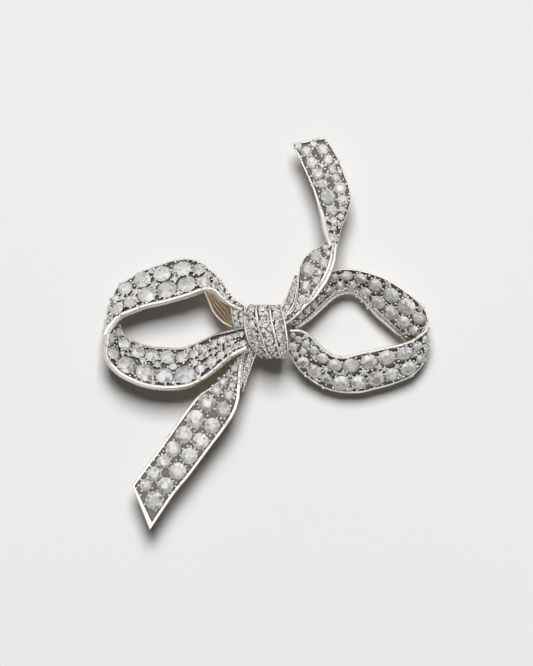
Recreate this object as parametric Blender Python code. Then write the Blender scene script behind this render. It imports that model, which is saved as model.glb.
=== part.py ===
"""Ribbon-bow brooch in the style of about 1890: silver ribbons set with old-cut stones, backed with gold,
with a hinged pin and a rolling safety catch behind. Front face +Z, top of the bow +Y.
The origin is the centre of the flat back of the gold bar behind the knot."""

import math

import bmesh
import bpy
from mathutils import Vector

MM = 0.001

# Ribbon section, in mm
SILVER = 0.95  # thickness of a silver ribbon plate
GOLD = 0.35  # thickness of its gold backing
SOLDER_GAP = 0.04  # between pieces soldered face to face
BED = 0.4  # depth of the set bed below the rim
END_RIM = 0.25  # stations of plain metal at a tail's cut end
THIN_RIM_SHARE = 0.3  # most of a narrow ribbon's width that one rim takes
BACKING_INSET = 0.12
SUBSTEPS = 2  # stations made between two control stations

# Stones, in mm or as shares of the diameter
STONE_GAP = 0.06
STONE_BACK = -0.1  # the stone's flat back, from the rim's level
GIRDLE = 0.06
CROWN = 0.15
TABLE = 0.55
CORNER = 0.414  # half side of an octagon with unit inner radius

# Pin fittings, in mm, in the pin line's own frame: p along the pin, q across it, z as in the row frame
PIN_ANGLE = math.radians(53)
PIN_Z = -2.0
HINGE_P = 12.5
CATCH_P = -22.0
TIP_P = -24.6
BAR_THICKNESS = 0.7
BAR_HALF_WIDTH = 0.75
BAR_ENDS = (-24.2, 14.0)
PAD_HALF_WIDTH = 1.35
PAD_HALF_LENGTH = {HINGE_P: 1.5, CATCH_P: 1.4}
PAD_STEP = 0.01
DISC_RADIUS = 2.5
POST_RADIUS = 0.6
POSTS = {"leaf_post": (HINGE_P - 0.5, 2.9), "tail_post": (CATCH_P + 1.0, 1.0)}  # place along the pin, top
PIVOT_RADIUS = 0.34
PIVOT_HOLE = 0.38
EYE_RADIUS = 0.75
EYE_HALF_WIDTH = 0.62
EAR_INNER = 0.68
EAR_OUTER = 1.15
EAR_HALF_LENGTH = 1.0
EAR_BOTTOM = -3.2
BRACKET_WEB = 0.7
RIVET_HEAD_RADIUS = 0.6
RIVET_CROWN_RADIUS = 0.42
RIVET_HEAD_HEIGHT = 0.22
STEM_STATIONS = (
    (HINGE_P - 0.1, 0.44), (HINGE_P - 2.5, 0.4), (-16.0, 0.34), (-20.5, 0.25), (-23.2, 0.2), (TIP_P, 0.05),
)
STEM_SIDES = 12
HOUSING_FOOT = (1.3, 1.25, 0.5)  # half length, half width, depth
HOUSING_NECK = 0.8  # half width
HOUSING_MOUTH = 0.62  # half width
HOUSING_RADIUS = 1.25
HOUSING_BORE = 0.86
HOUSING_HALF_LENGTH = 0.55
ROLLER_RADIUS = 0.82
ROLLER_BORE = 0.45
FLANGE_RADIUS = 1.15
ROLLER_HALF_LENGTH = 1.05
MOUTH_HALF_WIDTH = 0.36
TAB_REACH = 2.4
TAB_ROOT = 0.7
TAB_HALF_HEIGHT = 0.2
SIDES = 20
ROUND_ANGLE = math.radians(35)

# Knot shell, in mm
KNOT_WALL = 0.7
KNOT_BASE = BAR_THICKNESS + 0.05
KNOT_STONE_LIFT = 0.32  # of the stones' girdles over the facets

# Each ribbon is a row of stations: a point on one edge and its partner on the other, on the set face, in mm.
RIBBONS = {
    "left_upper": [
        ((-24.8, -0.2, 2.6), (-25.1, 0.3, 0.0)),
        ((-24.4, 0.9, 2.7), (-24.9, 1.8, -0.5)),
        ((-23.8, 1.5, 2.8), (-24.4, 4.2, -0.6)),
        ((-22.8, 2.2, 2.8), (-23.1, 6.8, -0.6)),
        ((-21.1, 2.9, 2.9), (-21.2, 8.2, -0.6)),
        ((-18.9, 3.7, 3.0), (-18.9, 9.4, -0.6)),
        ((-16.6, 4.2, 3.1), (-16.6, 10.2, -0.6)),
        ((-14.3, 4.8, 3.2), (-14.5, 10.9, -0.6)),
        ((-12.0, 5.5, 3.3), (-12.3, 11.1, -0.5)),
        ((-10.5, 6.1, 3.4), (-10.5, 10.6, -0.1)),
        ((-9.2, 6.4, 3.5), (-9.1, 9.5, 0.5)),
        ((-8.0, 6.0, 3.6), (-7.8, 8.4, 1.2)),
        ((-6.8, 4.8, 3.6), (-6.5, 6.7, 1.9)),
        ((-5.5, 3.4, 3.6), (-5.2, 5.0, 2.4)),
        ((-3.8, 1.7, 3.4), (-3.8, 3.0, 2.6)),
    ],
    "left_lower": [
        ((-24.8, -0.9, 2.6), (-22.5, 0.8, -0.5)),
        ((-25.0, -2.3, 2.7), (-22.5, 0.2, -0.6)),
        ((-24.8, -4.0, 2.8), (-22.2, -0.5, -0.6)),
        ((-24.0, -5.5, 2.8), (-21.5, -1.2, -0.6)),
        ((-22.6, -6.8, 2.9), (-20.5, -1.7, -0.6)),
        ((-20.9, -7.7, 2.9), (-19.2, -2.2, -0.6)),
        ((-19.1, -8.4, 2.9), (-17.8, -2.5, -0.6)),
        ((-17.1, -8.8, 2.9), (-16.3, -2.6, -0.6)),
        ((-15.1, -8.9, 2.9), (-14.6, -2.7, -0.6)),
        ((-13.1, -8.7, 3.0), (-12.9, -2.6, -0.6)),
        ((-11.4, -8.2, 3.1), (-11.2, -2.0, -0.4)),
        ((-9.7, -7.2, 3.2), (-9.5, -1.2, 0.0)),
        ((-8.2, -6.0, 3.4), (-8.0, -0.5, 0.5)),
        ((-6.8, -4.8, 3.6), (-6.5, -0.1, 1.0)),
        ((-5.4, -3.8, 3.8), (-5.1, 0.2, 1.4)),
        ((-3.3, -2.7, 3.9), (-3.8, 0.4, 1.7)),
    ],
    "right_upper": [
        ((3.5, 3.2, 2.1), (5.1, 0.5, 0.8)),
        ((4.9, 4.9, 2.2), (6.6, 1.5, 0.5)),
        ((6.6, 6.6, 2.3), (8.5, 3.2, 0.1)),
        ((8.5, 8.2, 2.5), (10.2, 4.7, -0.3)),
        ((10.5, 9.2, 2.7), (11.5, 5.3, -0.5)),
        ((12.6, 9.3, 2.8), (12.8, 5.4, -0.6)),
        ((14.5, 9.0, 2.9), (14.0, 4.8, -0.6)),
        ((16.3, 8.5, 2.9), (15.2, 3.5, -0.6)),
        ((18.2, 7.8, 2.9), (16.6, 1.9, -0.6)),
        ((20.0, 6.7, 2.9), (18.2, 0.5, -0.6)),
        ((21.7, 5.5, 2.9), (19.7, -0.8, -0.6)),
        ((23.2, 4.2, 2.8), (21.1, -1.8, -0.6)),
        ((24.2, 2.9, 2.7), (22.2, -2.2, -0.6)),
        ((24.6, 1.5, 2.6), (22.6, -1.7, -0.6)),
    ],
    "right_lower": [
        ((3.4, 0.0, 3.4), (3.3, -3.8, 1.4)),
        ((4.9, 0.0, 3.4), (4.6, -6.0, 0.6)),
        ((6.3, -0.7, 3.3), (6.2, -7.5, 0.0)),
        ((7.5, -2.0, 3.2), (7.8, -8.6, -0.4)),
        ((8.8, -3.2, 3.1), (9.4, -9.3, -0.6)),
        ((10.2, -4.0, 3.0), (11.1, -9.7, -0.6)),
        ((12.0, -4.1, 3.0), (12.8, -9.8, -0.6)),
        ((14.2, -3.5, 3.0), (14.6, -9.7, -0.6)),
        ((16.3, -3.1, 3.0), (16.6, -9.2, -0.6)),
        ((18.5, -2.6, 2.9), (18.6, -8.7, -0.6)),
        ((20.5, -2.2, 2.9), (20.5, -8.0, -0.6)),
        ((22.2, -1.6, 2.8), (22.2, -7.2, -0.6)),
        ((23.5, -0.7, 2.7), (23.5, -5.9, -0.6)),
        ((24.4, 0.0, 2.6), (24.5, -4.0, -0.5)),
        ((24.7, 0.8, 2.6), (24.9, -0.6, 0.0)),
    ],
    "lower_tail": [
        ((-3.8, -3.4, 1.9), (-3.2, -2.6, 2.0)),
        ((-4.8, -4.8, 2.0), (-3.7, -3.7, 2.4)),
        ((-6.0, -6.2, 2.1), (-4.1, -5.1, 3.0)),
        ((-7.5, -7.7, 2.1), (-4.2, -6.8, 3.0)),
        ((-9.1, -9.0, 2.2), (-4.3, -8.6, 3.0)),
        ((-10.5, -9.9, 2.3), (-4.5, -10.8, 2.9)),
        ((-11.7, -11.2, 2.4), (-5.2, -12.8, 2.8)),
        ((-13.1, -13.1, 2.5), (-6.5, -14.9, 2.6)),
        ((-14.6, -15.2, 2.6), (-8.2, -17.2, 2.4)),
        ((-16.3, -17.6, 2.6), (-10.0, -19.6, 2.2)),
        ((-18.0, -19.9, 2.5), (-12.0, -22.3, 2.0)),
        ((-19.5, -21.9, 2.3), (-14.6, -25.5, 2.0)),
        ((-20.9, -23.9, 2.1), (-18.2, -30.8, 2.0)),
    ],
    "leaf": [
        ((2.9, 2.4, 4.0), (3.2, 1.1, 3.7)),
        ((3.8, 3.2, 4.1), (4.5, 2.2, 4.1)),
        ((4.3, 4.6, 4.2), (5.8, 3.6, 4.5)),
        ((4.5, 6.2, 4.2), (7.2, 4.9, 4.8)),
        ((4.6, 7.7, 4.2), (8.2, 6.2, 4.9)),
        ((4.8, 9.4, 4.1), (9.2, 7.7, 4.9)),
        ((5.5, 11.1, 4.0), (9.9, 9.3, 4.8)),
        ((6.7, 12.2, 3.9), (10.3, 10.9, 4.7)),
        ((7.8, 12.7, 3.7), (10.4, 12.2, 4.6)),
        ((8.7, 13.4, 3.5), (10.4, 13.1, 4.4)),
    ],
    "upper_tail": [
        ((3.5, 28.6, 2.0), (9.4, 29.2, 2.0)),
        ((4.5, 27.1, 2.1), (10.3, 27.3, 2.3)),
        ((5.2, 25.5, 2.2), (11.1, 25.7, 2.6)),
        ((6.0, 23.8, 2.4), (11.8, 23.9, 2.8)),
        ((6.7, 22.2, 2.6), (12.5, 22.1, 2.8)),
        ((7.3, 20.5, 2.9), (12.8, 20.3, 2.7)),
        ((7.8, 18.9, 3.2), (12.5, 18.6, 2.5)),
        ((8.3, 17.4, 3.6), (11.9, 17.0, 2.3)),
        ((8.6, 15.8, 4.0), (11.4, 15.4, 2.3)),
        ((8.9, 13.9, 4.5), (10.9, 13.5, 3.0)),
    ],
}
# Narrow folds beside a ribbon's root: thin silver plates with no backing.
FOLDS = {
    "lower_tail_fold": [
        ((-2.7, -3.0, 1.9), (-2.0, -4.2, 1.6)),
        ((-3.2, -4.2, 2.1), (-2.4, -5.7, 1.5)),
        ((-3.6, -5.6, 2.3), (-2.9, -7.1, 1.6)),
        ((-3.8, -7.1, 2.4), (-3.5, -8.4, 1.8)),
    ],
    "leaf_fold": [
        ((2.3, 4.0, 3.0), (2.8, 3.0, 3.6)),
        ((2.8, 5.1, 3.1), (3.6, 3.9, 3.8)),
        ((3.2, 6.3, 3.2), (4.0, 5.4, 3.9)),
        ((3.5, 7.4, 3.4), (4.2, 6.7, 3.9)),
        ((3.8, 8.5, 3.5), (4.4, 8.0, 3.9)),
    ],
    "left_fold": [
        ((-6.0, 3.4, 2.3), (-5.6, 3.1, 2.6)),
        ((-5.2, 1.8, 1.8), (-4.6, 2.3, 2.5)),
        ((-3.9, 0.5, 1.6), (-3.8, 1.6, 2.4)),
    ],
}
FOLD_THICKNESS = 0.45
FOLD_BED = 0.2
FOLD_RIM = 0.25
# Gold back of the upper left arm where it turns down beside the knot: a bare sheet.
LINING = [
    ((-9.7, 5.6, 1.6), (-9.2, 5.75, 2.0)),
    ((-9.2, 4.3, 1.3), (-8.2, 5.0, 2.2)),
    ((-8.5, 2.9, 1.1), (-7.2, 3.9, 2.2)),
    ((-7.4, 1.8, 1.0), (-6.5, 2.8, 2.1)),
    ((-6.6, 1.1, 1.0), (-6.2, 1.7, 1.9)),
]

# Tails with a rim across one end: 0 at the first station, 1 at the last.
CUT_ENDS = {"lower_tail": 1, "upper_tail": 0}

# Values spread evenly along a ribbon: rim widths in mm, and plate thickness as a share of the full one.
RIMS = {
    "left_upper": ([0.45], [0.35]),
    "left_lower": ([0.45], [0.4]),
    "right_upper": ([0.3], [0.8]),
    "right_lower": ([0.4], [0.45]),
    "lower_tail": ([0.45], [0.5]),
    "leaf": ([0.2], [0.7, 1.0, 1.1, 1.0, 0.7]),
    "upper_tail": ([0.35, 0.35, 0.4, 0.7, 0.9], [0.35]),
}
THICKNESS = {
    "left_upper": [0.4, 1.0, 1.0, 1.0, 1.0, 1.0, 0.5],
    "left_lower": [0.4, 1.0, 1.0, 1.0, 1.0, 1.0, 0.7],
    "right_upper": [1.0, 1.0, 1.0, 1.0, 1.0, 0.4],
    "right_lower": [0.7, 1.0, 1.0, 1.0, 1.0, 0.4],
    "lower_tail": [0.3, 0.35, 0.5, 1.0, 1.0, 1.0],
    "leaf": [0.6],
    "upper_tail": [1.0, 1.0, 1.0, 0.6],
}

# Stone rows: shares of the way across from the first edge, first and last station, diameters in mm.
ROWS = {
    "left_upper": [
        ("front", [0.3], 2.1, 12.4, [1.8, 1.9, 2.3, 2.6, 2.2, 1.8, 1.3, 0.8, 0.7]),
        ("back", [0.78, 0.74, 0.72, 0.7], 2.5, 12.2, [1.4, 2.0, 2.3, 2.4, 2.3, 1.5, 1.0, 1.0, 0.9, 0.8]),
    ],
    "left_lower": [
        ("front", [0.32, 0.29], 0.3, 14.4, [1.5, 1.7, 2.5, 2.3, 2.3, 2.6, 1.4, 1.5, 1.2, 0.9, 0.9]),
        ("back", [0.8, 0.73], 0.2, 14.4, [1.4, 2.0, 2.0, 1.9, 2.0, 1.8, 1.4, 1.4, 1.4, 1.2, 0.9, 0.9]),
    ],
    "right_upper": [
        ("front", [0.26, 0.3], 1.5, 12.7, [0.9, 1.0, 1.1, 1.3, 1.0, 1.7, 1.3, 2.2, 2.3, 2.2, 1.7]),
        ("back", [0.62, 0.65], 1.3, 12.6, [0.9, 1.0, 1.0, 1.4, 1.0, 1.5, 1.7, 2.0, 1.7, 1.9, 1.0]),
    ],
    "right_lower": [
        ("front", [0.26, 0.28], 0.6, 13.2, [0.8, 0.9, 1.1, 1.3, 1.7, 2.0, 2.0, 2.1, 1.9, 1.3, 1.0]),
        ("back", [0.73, 0.73], 0.4, 13.2, [0.9, 1.6, 1.7, 1.6, 2.0, 2.1, 2.0, 1.9, 2.2, 1.4, 1.0]),
    ],
    "lower_tail": [
        ("left", [0.32, 0.28], 2.4, 11.6, [0.9, 1.3, 1.4, 2.6, 2.6, 2.4, 2.2, 1.9, 2.0, 1.6]),
        ("right", [0.72, 0.72, 0.68], 3.6, 11.7, [0.8, 1.4, 2.3, 2.3, 2.2, 2.2, 2.3, 2.2, 2.1]),
    ],
    "leaf": [
        ("left", [0.5, 0.4, 0.28, 0.26, 0.36], 1.6, 8.7, [0.7, 1.1, 2.0, 1.8, 1.5, 1.1]),
        ("right", [0.66, 0.64], 4.0, 8.0, [0.7, 0.8, 0.9, 1.1, 0.8]),
    ],
    "upper_tail": [
        ("left", [0.28, 0.28, 0.32, 0.42, 0.62], 0.4, 8.2, [1.4, 1.5, 1.5, 1.8, 1.7, 2.2, 1.7, 1.4, 0.8]),
        ("right", [0.73, 0.72, 0.74, 0.78], 0.4, 6.4, [1.5, 1.0, 1.6, 1.5, 1.6, 1.5, 1.4]),
    ],
    "lower_tail_fold": [("row", [0.5], 0.2, 2.7, [0.8, 1.1, 0.9])],
    "leaf_fold": [("row", [0.5], 0.2, 3.5, [0.9, 0.7, 0.6, 0.5])],
    "left_fold": [("row", [0.5], 0.6, 1.9, [0.5, 0.8])],
}

# Knot rows from the top down: y, then x of the left edge, the two ridges and the right edge, then heights.
KNOT_ROWS = [
    (3.8, -2.9, -1.7, 0.2, 1.9, 2.2, 3.6, 3.6, 2.8),
    (2.9, -3.4, -1.8, 0.3, 2.1, 3.0, 4.9, 4.8, 3.6),
    (1.5, -3.5, -1.6, 0.5, 2.5, 3.6, 5.7, 5.5, 4.2),
    (0.2, -3.4, -1.4, 0.8, 2.7, 3.8, 6.0, 5.8, 4.4),
    (-1.2, -3.1, -0.9, 1.1, 2.9, 3.7, 5.9, 5.7, 4.4),
    (-2.5, -2.5, -0.5, 1.4, 2.9, 3.3, 5.4, 5.2, 4.0),
    (-3.4, -1.8, -0.1, 1.7, 2.9, 2.8, 4.6, 4.4, 3.5),
    (-4.2, -0.9, 0.5, 1.9, 2.7, 2.1, 3.3, 3.3, 2.7),
]
KNOT_COLUMNS = [
    ("left", 0, [0.9, 1.1, 1.3, 1.4, 1.3, 1.1]),
    ("middle", 1, [1.1, 1.2, 1.3, 1.3, 1.2, 1.1]),
    ("right", 2, [0.9, 1.2, 1.2, 1.2, 1.2, 1.0]),
]


def clear_scene():
    for obj in list(bpy.data.objects):
        bpy.data.objects.remove(obj, do_unlink=True)


def material(name, color, metallic, roughness, transmission=0.0, ior=1.45):
    made = bpy.data.materials.new(name)
    made.use_nodes = True
    made.diffuse_color = (*color, 1.0)
    surface = made.node_tree.nodes["Principled BSDF"]
    surface.inputs["Base Color"].default_value = (*color, 1.0)
    surface.inputs["Metallic"].default_value = metallic
    surface.inputs["Roughness"].default_value = roughness
    surface.inputs["Transmission Weight"].default_value = transmission
    surface.inputs["IOR"].default_value = ior
    return made


def make_object(name, mesh_data, look):
    """A named object from a bmesh whose points are in mm, faces turned outwards."""
    bmesh.ops.recalc_face_normals(mesh_data, faces=mesh_data.faces)
    for vert in mesh_data.verts:
        vert.co *= MM
    mesh = bpy.data.meshes.new(name)
    mesh_data.to_mesh(mesh)
    mesh_data.free()
    mesh.materials.append(look)
    obj = bpy.data.objects.new(name, mesh)
    bpy.context.scene.collection.objects.link(obj)
    return obj


def loft(name, rings, look):
    """One closed body through rings of points of equal count, capped at both ends."""
    body = bmesh.new()
    rows = [[body.verts.new(point) for point in ring] for ring in rings]
    count = len(rows[0])
    for first, second in zip(rows, rows[1:]):
        for i in range(count):
            j = (i + 1) % count
            body.faces.new((first[i], first[j], second[j]))
            body.faces.new((first[i], second[j], second[i]))
    body.faces.new(list(reversed(rows[0])))
    body.faces.new(rows[-1])
    return make_object(name, body, look)


def spline(points, t):
    """Catmull-Rom curve through the points, at t counted in points."""
    last = len(points) - 1
    i = min(max(int(math.floor(t)), 0), last - 1)
    f = t - i
    p1 = Vector(points[i])
    p2 = Vector(points[i + 1])
    p0 = Vector(points[i - 1]) if i > 0 else 2 * p1 - p2
    p3 = Vector(points[i + 2]) if i + 2 <= last else 2 * p2 - p1
    return 0.5 * (
        2 * p1 + (p2 - p0) * f + (2 * p0 - 5 * p1 + 4 * p2 - p3) * f**2
        + (3 * p1 - p0 - 3 * p2 + p3) * f**3
    )


class Ribbon:
    """A ruled strip between two edge curves, with its set face towards +Z."""

    def __init__(self, stations):
        self.first = [station[0] for station in stations]
        self.second = [station[1] for station in stations]
        self.last = len(stations) - 1
        middle = self.frame(self.last / 2)
        self.side = 1.0 if middle[2].z > 0 else -1.0

    side = 1.0

    def frame(self, t):
        """Point on the first edge, unit vector across, unit normal of the set face, and the width."""
        edge = spline(self.first, t)
        across = spline(self.second, t) - edge
        width = across.length
        across.normalize()
        step = 0.02
        low, high = max(t - step, 0.0), min(t + step, self.last)
        along = spline(self.first, high) - spline(self.first, low)
        along += spline(self.second, high) - spline(self.second, low)
        normal = along.cross(across).normalized() * self.side
        return edge, across, normal, width

    def point(self, t, share):
        edge, across, _, width = self.frame(t)
        return edge + across * width * share

    def stations(self):
        count = self.last * SUBSTEPS
        return [self.last * i / count for i in range(count + 1)]


def spread(values, share):
    """Value at a share of the way along evenly spread values."""
    place = share * (len(values) - 1)
    i = min(int(place), len(values) - 2)
    if i < 0:
        return values[0]
    return values[i] + (values[i + 1] - values[i]) * (place - i)


def section(name, ribbon, t):
    """Frame of the ribbon at t, and the thickness share there."""
    return ribbon.frame(t), spread(THICKNESS.get(name, [1.0]), t / ribbon.last)


def ribbon_plate(name, ribbon, thickness, bed, rims, look):
    """Silver plate: raised rims along both edges, a lower bed between them and a rim across a tail's end."""
    rings = []
    cut = CUT_ENDS.get(name)
    stations = ribbon.stations()
    if cut is not None:
        inner = END_RIM if cut == 0 else ribbon.last - END_RIM
        stations = sorted(stations + [inner - 0.005, inner + 0.005])
    for t in stations:
        (edge, across, normal, width), share = section(name, ribbon, t)
        deep = thickness * share
        low = min(bed, deep * 0.45)
        if cut is not None and abs(t - cut * ribbon.last) < END_RIM:
            low = 0.02
        first, second = (min(spread(rim, t / ribbon.last), width * THIN_RIM_SHARE) for rim in rims)
        outline = (
            (0, -deep), (0, 0), (first, 0), (first, -low),
            (width - second, -low), (width - second, 0), (width, 0), (width, -deep),
        )
        rings.append([edge + across * u + normal * n for u, n in outline])
    return loft(name + "_plate", rings, look)


def lining(ribbon, look):
    """Bare gold sheet."""
    rings = []
    for t in ribbon.stations():
        edge, across, normal, width = ribbon.frame(t)
        outline = ((width, -GOLD), (width, 0), (0, 0), (0, -GOLD))
        rings.append([edge + across * u + normal * n for u, n in outline])
    return loft("left_turn_lining", rings, look)


def ribbon_backing(name, ribbon, look):
    """Gold sheet behind a silver plate, a little narrower than it."""
    rings = []
    for t in ribbon.stations():
        (edge, across, normal, width), share = section(name, ribbon, t)
        top = -SILVER * share - SOLDER_GAP
        bottom = top - GOLD * share
        far = width - BACKING_INSET
        outline = ((far, bottom), (far, top), (BACKING_INSET, top), (BACKING_INSET, bottom))
        rings.append([edge + across * u + normal * n for u, n in outline])
    return loft(name + "_backing", rings, look)


def row_places(curve, start, end, diameters):
    """Curve parameters of the stones' centres, packed one after another from start to end."""
    steps = 200
    marks = [start + (end - start) * i / steps for i in range(steps + 1)]
    reached = [0.0]
    for a, b in zip(marks, marks[1:]):
        reached.append(reached[-1] + (curve(b) - curve(a)).length)
    spare = (reached[-1] - sum(diameters)) / (len(diameters) - 1)
    places = []
    travelled = 0.0
    for diameter in diameters:
        target = travelled + diameter / 2
        i = max(k for k in range(steps) if reached[k] <= target + 1e-9)
        share = (target - reached[i]) / max(reached[i + 1] - reached[i], 1e-9)
        places.append(marks[i] + share * (marks[i + 1] - marks[i]))
        travelled += diameter + spare
    return places, spare


def stone_row(name, curve, normal_at, start, end, diameters, look):
    """A row of eight-sided stones joined end to end, each flat in its own plane."""
    places, spare = row_places(curve, start, end, diameters)
    rings = []
    for t, diameter in zip(places, diameters):
        radius = (diameter + min(spare, 0.0)) / 2 - STONE_GAP / 2
        centre = curve(t)
        normal = normal_at(t)
        along = curve(min(t + 0.05, end)) - curve(max(t - 0.05, start))
        along = (along - normal * along.dot(normal)).normalized()
        across = normal.cross(along)
        for reach, half, top_half, top in (
            (-1.0, CORNER, CORNER * 0.6, GIRDLE), (-CORNER, 1.0, TABLE, GIRDLE + CROWN * diameter),
            (CORNER, 1.0, TABLE, GIRDLE + CROWN * diameter), (1.0, CORNER, CORNER * 0.6, GIRDLE),
        ):
            base = centre + along * reach * radius
            outline = ((-half, STONE_BACK), (half, STONE_BACK), (top_half, top), (-top_half, top))
            rings.append([base + across * u * radius + normal * n for u, n in outline])
    return loft(name, rings, look)


def cylinder(start, end, radius, along):
    """End rings of a round bar in the pin line's frame; along is 'p' or 'q'."""
    return [turned_ring(reach, radius, along) for reach in (start, end)]


def turned_ring(reach, radius, along, sides=SIDES):
    """Ring about the pin's own line (along 'p') or about the hinge's axis (along 'q')."""
    ring = []
    for k in range(sides):
        angle = 2 * math.pi * (k + 0.5) / sides
        c, s = radius * math.cos(angle), radius * math.sin(angle)
        if along == "p":
            ring.append(Vector((reach, c, PIN_Z + s)))
        else:
            ring.append(Vector((HINGE_P + c, reach, PIN_Z + s)))
    return ring


def box(name, low, high, look):
    """A box whose p is counted from the catch."""
    rings = []
    for z in (low[2], high[2]):
        rings.append([Vector((CATCH_P + p, q, z)) for p, q in (
            (low[0], low[1]), (high[0], low[1]), (high[0], high[1]), (low[0], high[1]),
        )])
    return loft(name, rings, look)


def shade_round(obj):
    obj.data.shade_smooth()
    obj.data.set_sharp_from_angle(angle=ROUND_ANGLE)


def combine(obj, other, operation):
    """Boolean with a helper that isn't part of the model."""
    other.hide_render = True
    other.display_type = "WIRE"
    step = obj.modifiers.new(operation.title(), "BOOLEAN")
    step.operation = operation
    step.solver = "EXACT"
    step.object = other


def place_on_line(line, *objects):
    for obj in objects:
        obj.parent = line


def build_ribbons(looks):
    shapes = {name: Ribbon(stations) for name, stations in {**RIBBONS, **FOLDS}.items()}
    for name in RIBBONS:
        ribbon_plate(name, shapes[name], SILVER, BED, RIMS[name], looks["silver"])
        ribbon_backing(name, shapes[name], looks["gold"])
    for name in FOLDS:
        ribbon_plate(name, shapes[name], FOLD_THICKNESS, FOLD_BED, ([FOLD_RIM], [FOLD_RIM]), looks["silver"])
    lining(Ribbon(LINING), looks["gold"])
    for name, rows in ROWS.items():
        ribbon = shapes[name]
        for label, shares, start, end, diameters in rows:
            row_name = f"{name}_{label}_stones"
            build_ribbon_row(row_name, ribbon, shares, start, end, diameters, looks["diamond"])


def build_ribbon_row(name, ribbon, shares, start, end, diameters, look):
    def curve(t):
        return ribbon.point(t, spread(shares, (t - start) / (end - start)))

    stone_row(name, curve, lambda t: ribbon.frame(t)[2], start, end, diameters, look)


def knot_row(t):
    values = [Vector((row[i], row[i + 1], row[i + 2])) for i in (0, 3, 6) for row in KNOT_ROWS]
    count = len(KNOT_ROWS)
    parts = [spline(values[k * count:(k + 1) * count], t) for k in range(3)]
    y, left, ridge_b, ridge_c, right, z_left, z_b, z_c, z_right = (c for part in parts for c in part)
    return y, (left, ridge_b, ridge_c, right), (z_left, z_b, z_c, z_right)


def build_knot(looks):
    """Hollow shell folded over the ribbons' roots, with three facets between its edges and ridges."""
    rings = []
    last = len(KNOT_ROWS) - 1
    for i in range(last * SUBSTEPS + 1):
        y, xs, zs = knot_row(i / SUBSTEPS)
        outer = [Vector((x, y, z)) for x, z in zip(xs, zs)]
        inside = [
            Vector((x + shift, y, z - KNOT_WALL))
            for x, z, shift in zip(xs, zs, (KNOT_WALL, 0.0, 0.0, -KNOT_WALL))
        ]
        foot = [Vector((xs[3], y, KNOT_BASE)), Vector((xs[3] - KNOT_WALL, y, KNOT_BASE))]
        heel = [Vector((xs[0] + KNOT_WALL, y, KNOT_BASE)), Vector((xs[0], y, KNOT_BASE))]
        rings.append(outer + foot + inside[::-1] + heel)
    loft("knot_shell", rings, looks["silver"])
    for label, facet, diameters in KNOT_COLUMNS:
        build_knot_column(label, facet, diameters, looks["diamond"])


def build_knot_column(label, facet, diameters, look):
    def corner(t, k):
        y, xs, zs = knot_row(t)
        return Vector((xs[k], y, zs[k]))

    def normal(t):
        across = corner(t, facet + 1) - corner(t, facet)
        along = corner(t + 0.05, facet) - corner(t - 0.05, facet)
        along += corner(t + 0.05, facet + 1) - corner(t - 0.05, facet + 1)
        found = across.cross(along).normalized()
        return found if found.z > 0 else -found

    def middle(t):
        return (corner(t, facet) + corner(t, facet + 1)) / 2 + normal(t) * KNOT_STONE_LIFT

    stone_row(f"knot_{label}_stones", middle, normal, 0.5, 6.5, diameters, look)


def bar_half_width(p):
    """The bar widens to a disc behind the knot and to pads above the hinge and the catch."""
    half = BAR_HALF_WIDTH
    if abs(p) < DISC_RADIUS:
        half = max(half, math.sqrt(DISC_RADIUS**2 - p * p))
    for centre, reach in PAD_HALF_LENGTH.items():
        if abs(p - centre) <= reach:
            half = PAD_HALF_WIDTH
    return half


def build_back_bar(line, look):
    steps = [-DISC_RADIUS * math.cos(math.pi * k / 12) for k in range(1, 12)]
    for centre, reach in PAD_HALF_LENGTH.items():
        steps += [centre - reach - PAD_STEP, centre - reach, centre + reach, centre + reach + PAD_STEP]
    low, high = BAR_ENDS
    steps = [low] + sorted(p for p in steps if low < p < high) + [high]
    edge = [Vector((p, bar_half_width(p), 0.0)) for p in steps]
    outline = edge + [Vector((v.x, -v.y, 0.0)) for v in reversed(edge)]
    top = [v + Vector((0, 0, BAR_THICKNESS)) for v in outline]
    place_on_line(line, loft("back_bar", [outline, top], look))


def build_post(line, name, p, top, look):
    rings = []
    for z in (BAR_THICKNESS + SOLDER_GAP, top):
        rings.append([
            Vector((p + POST_RADIUS * math.cos(a), POST_RADIUS * math.sin(a), z))
            for a in (2 * math.pi * k / STEM_SIDES for k in range(STEM_SIDES))
        ])
    post = loft(name, rings, look)
    shade_round(post)
    place_on_line(line, post)


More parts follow.
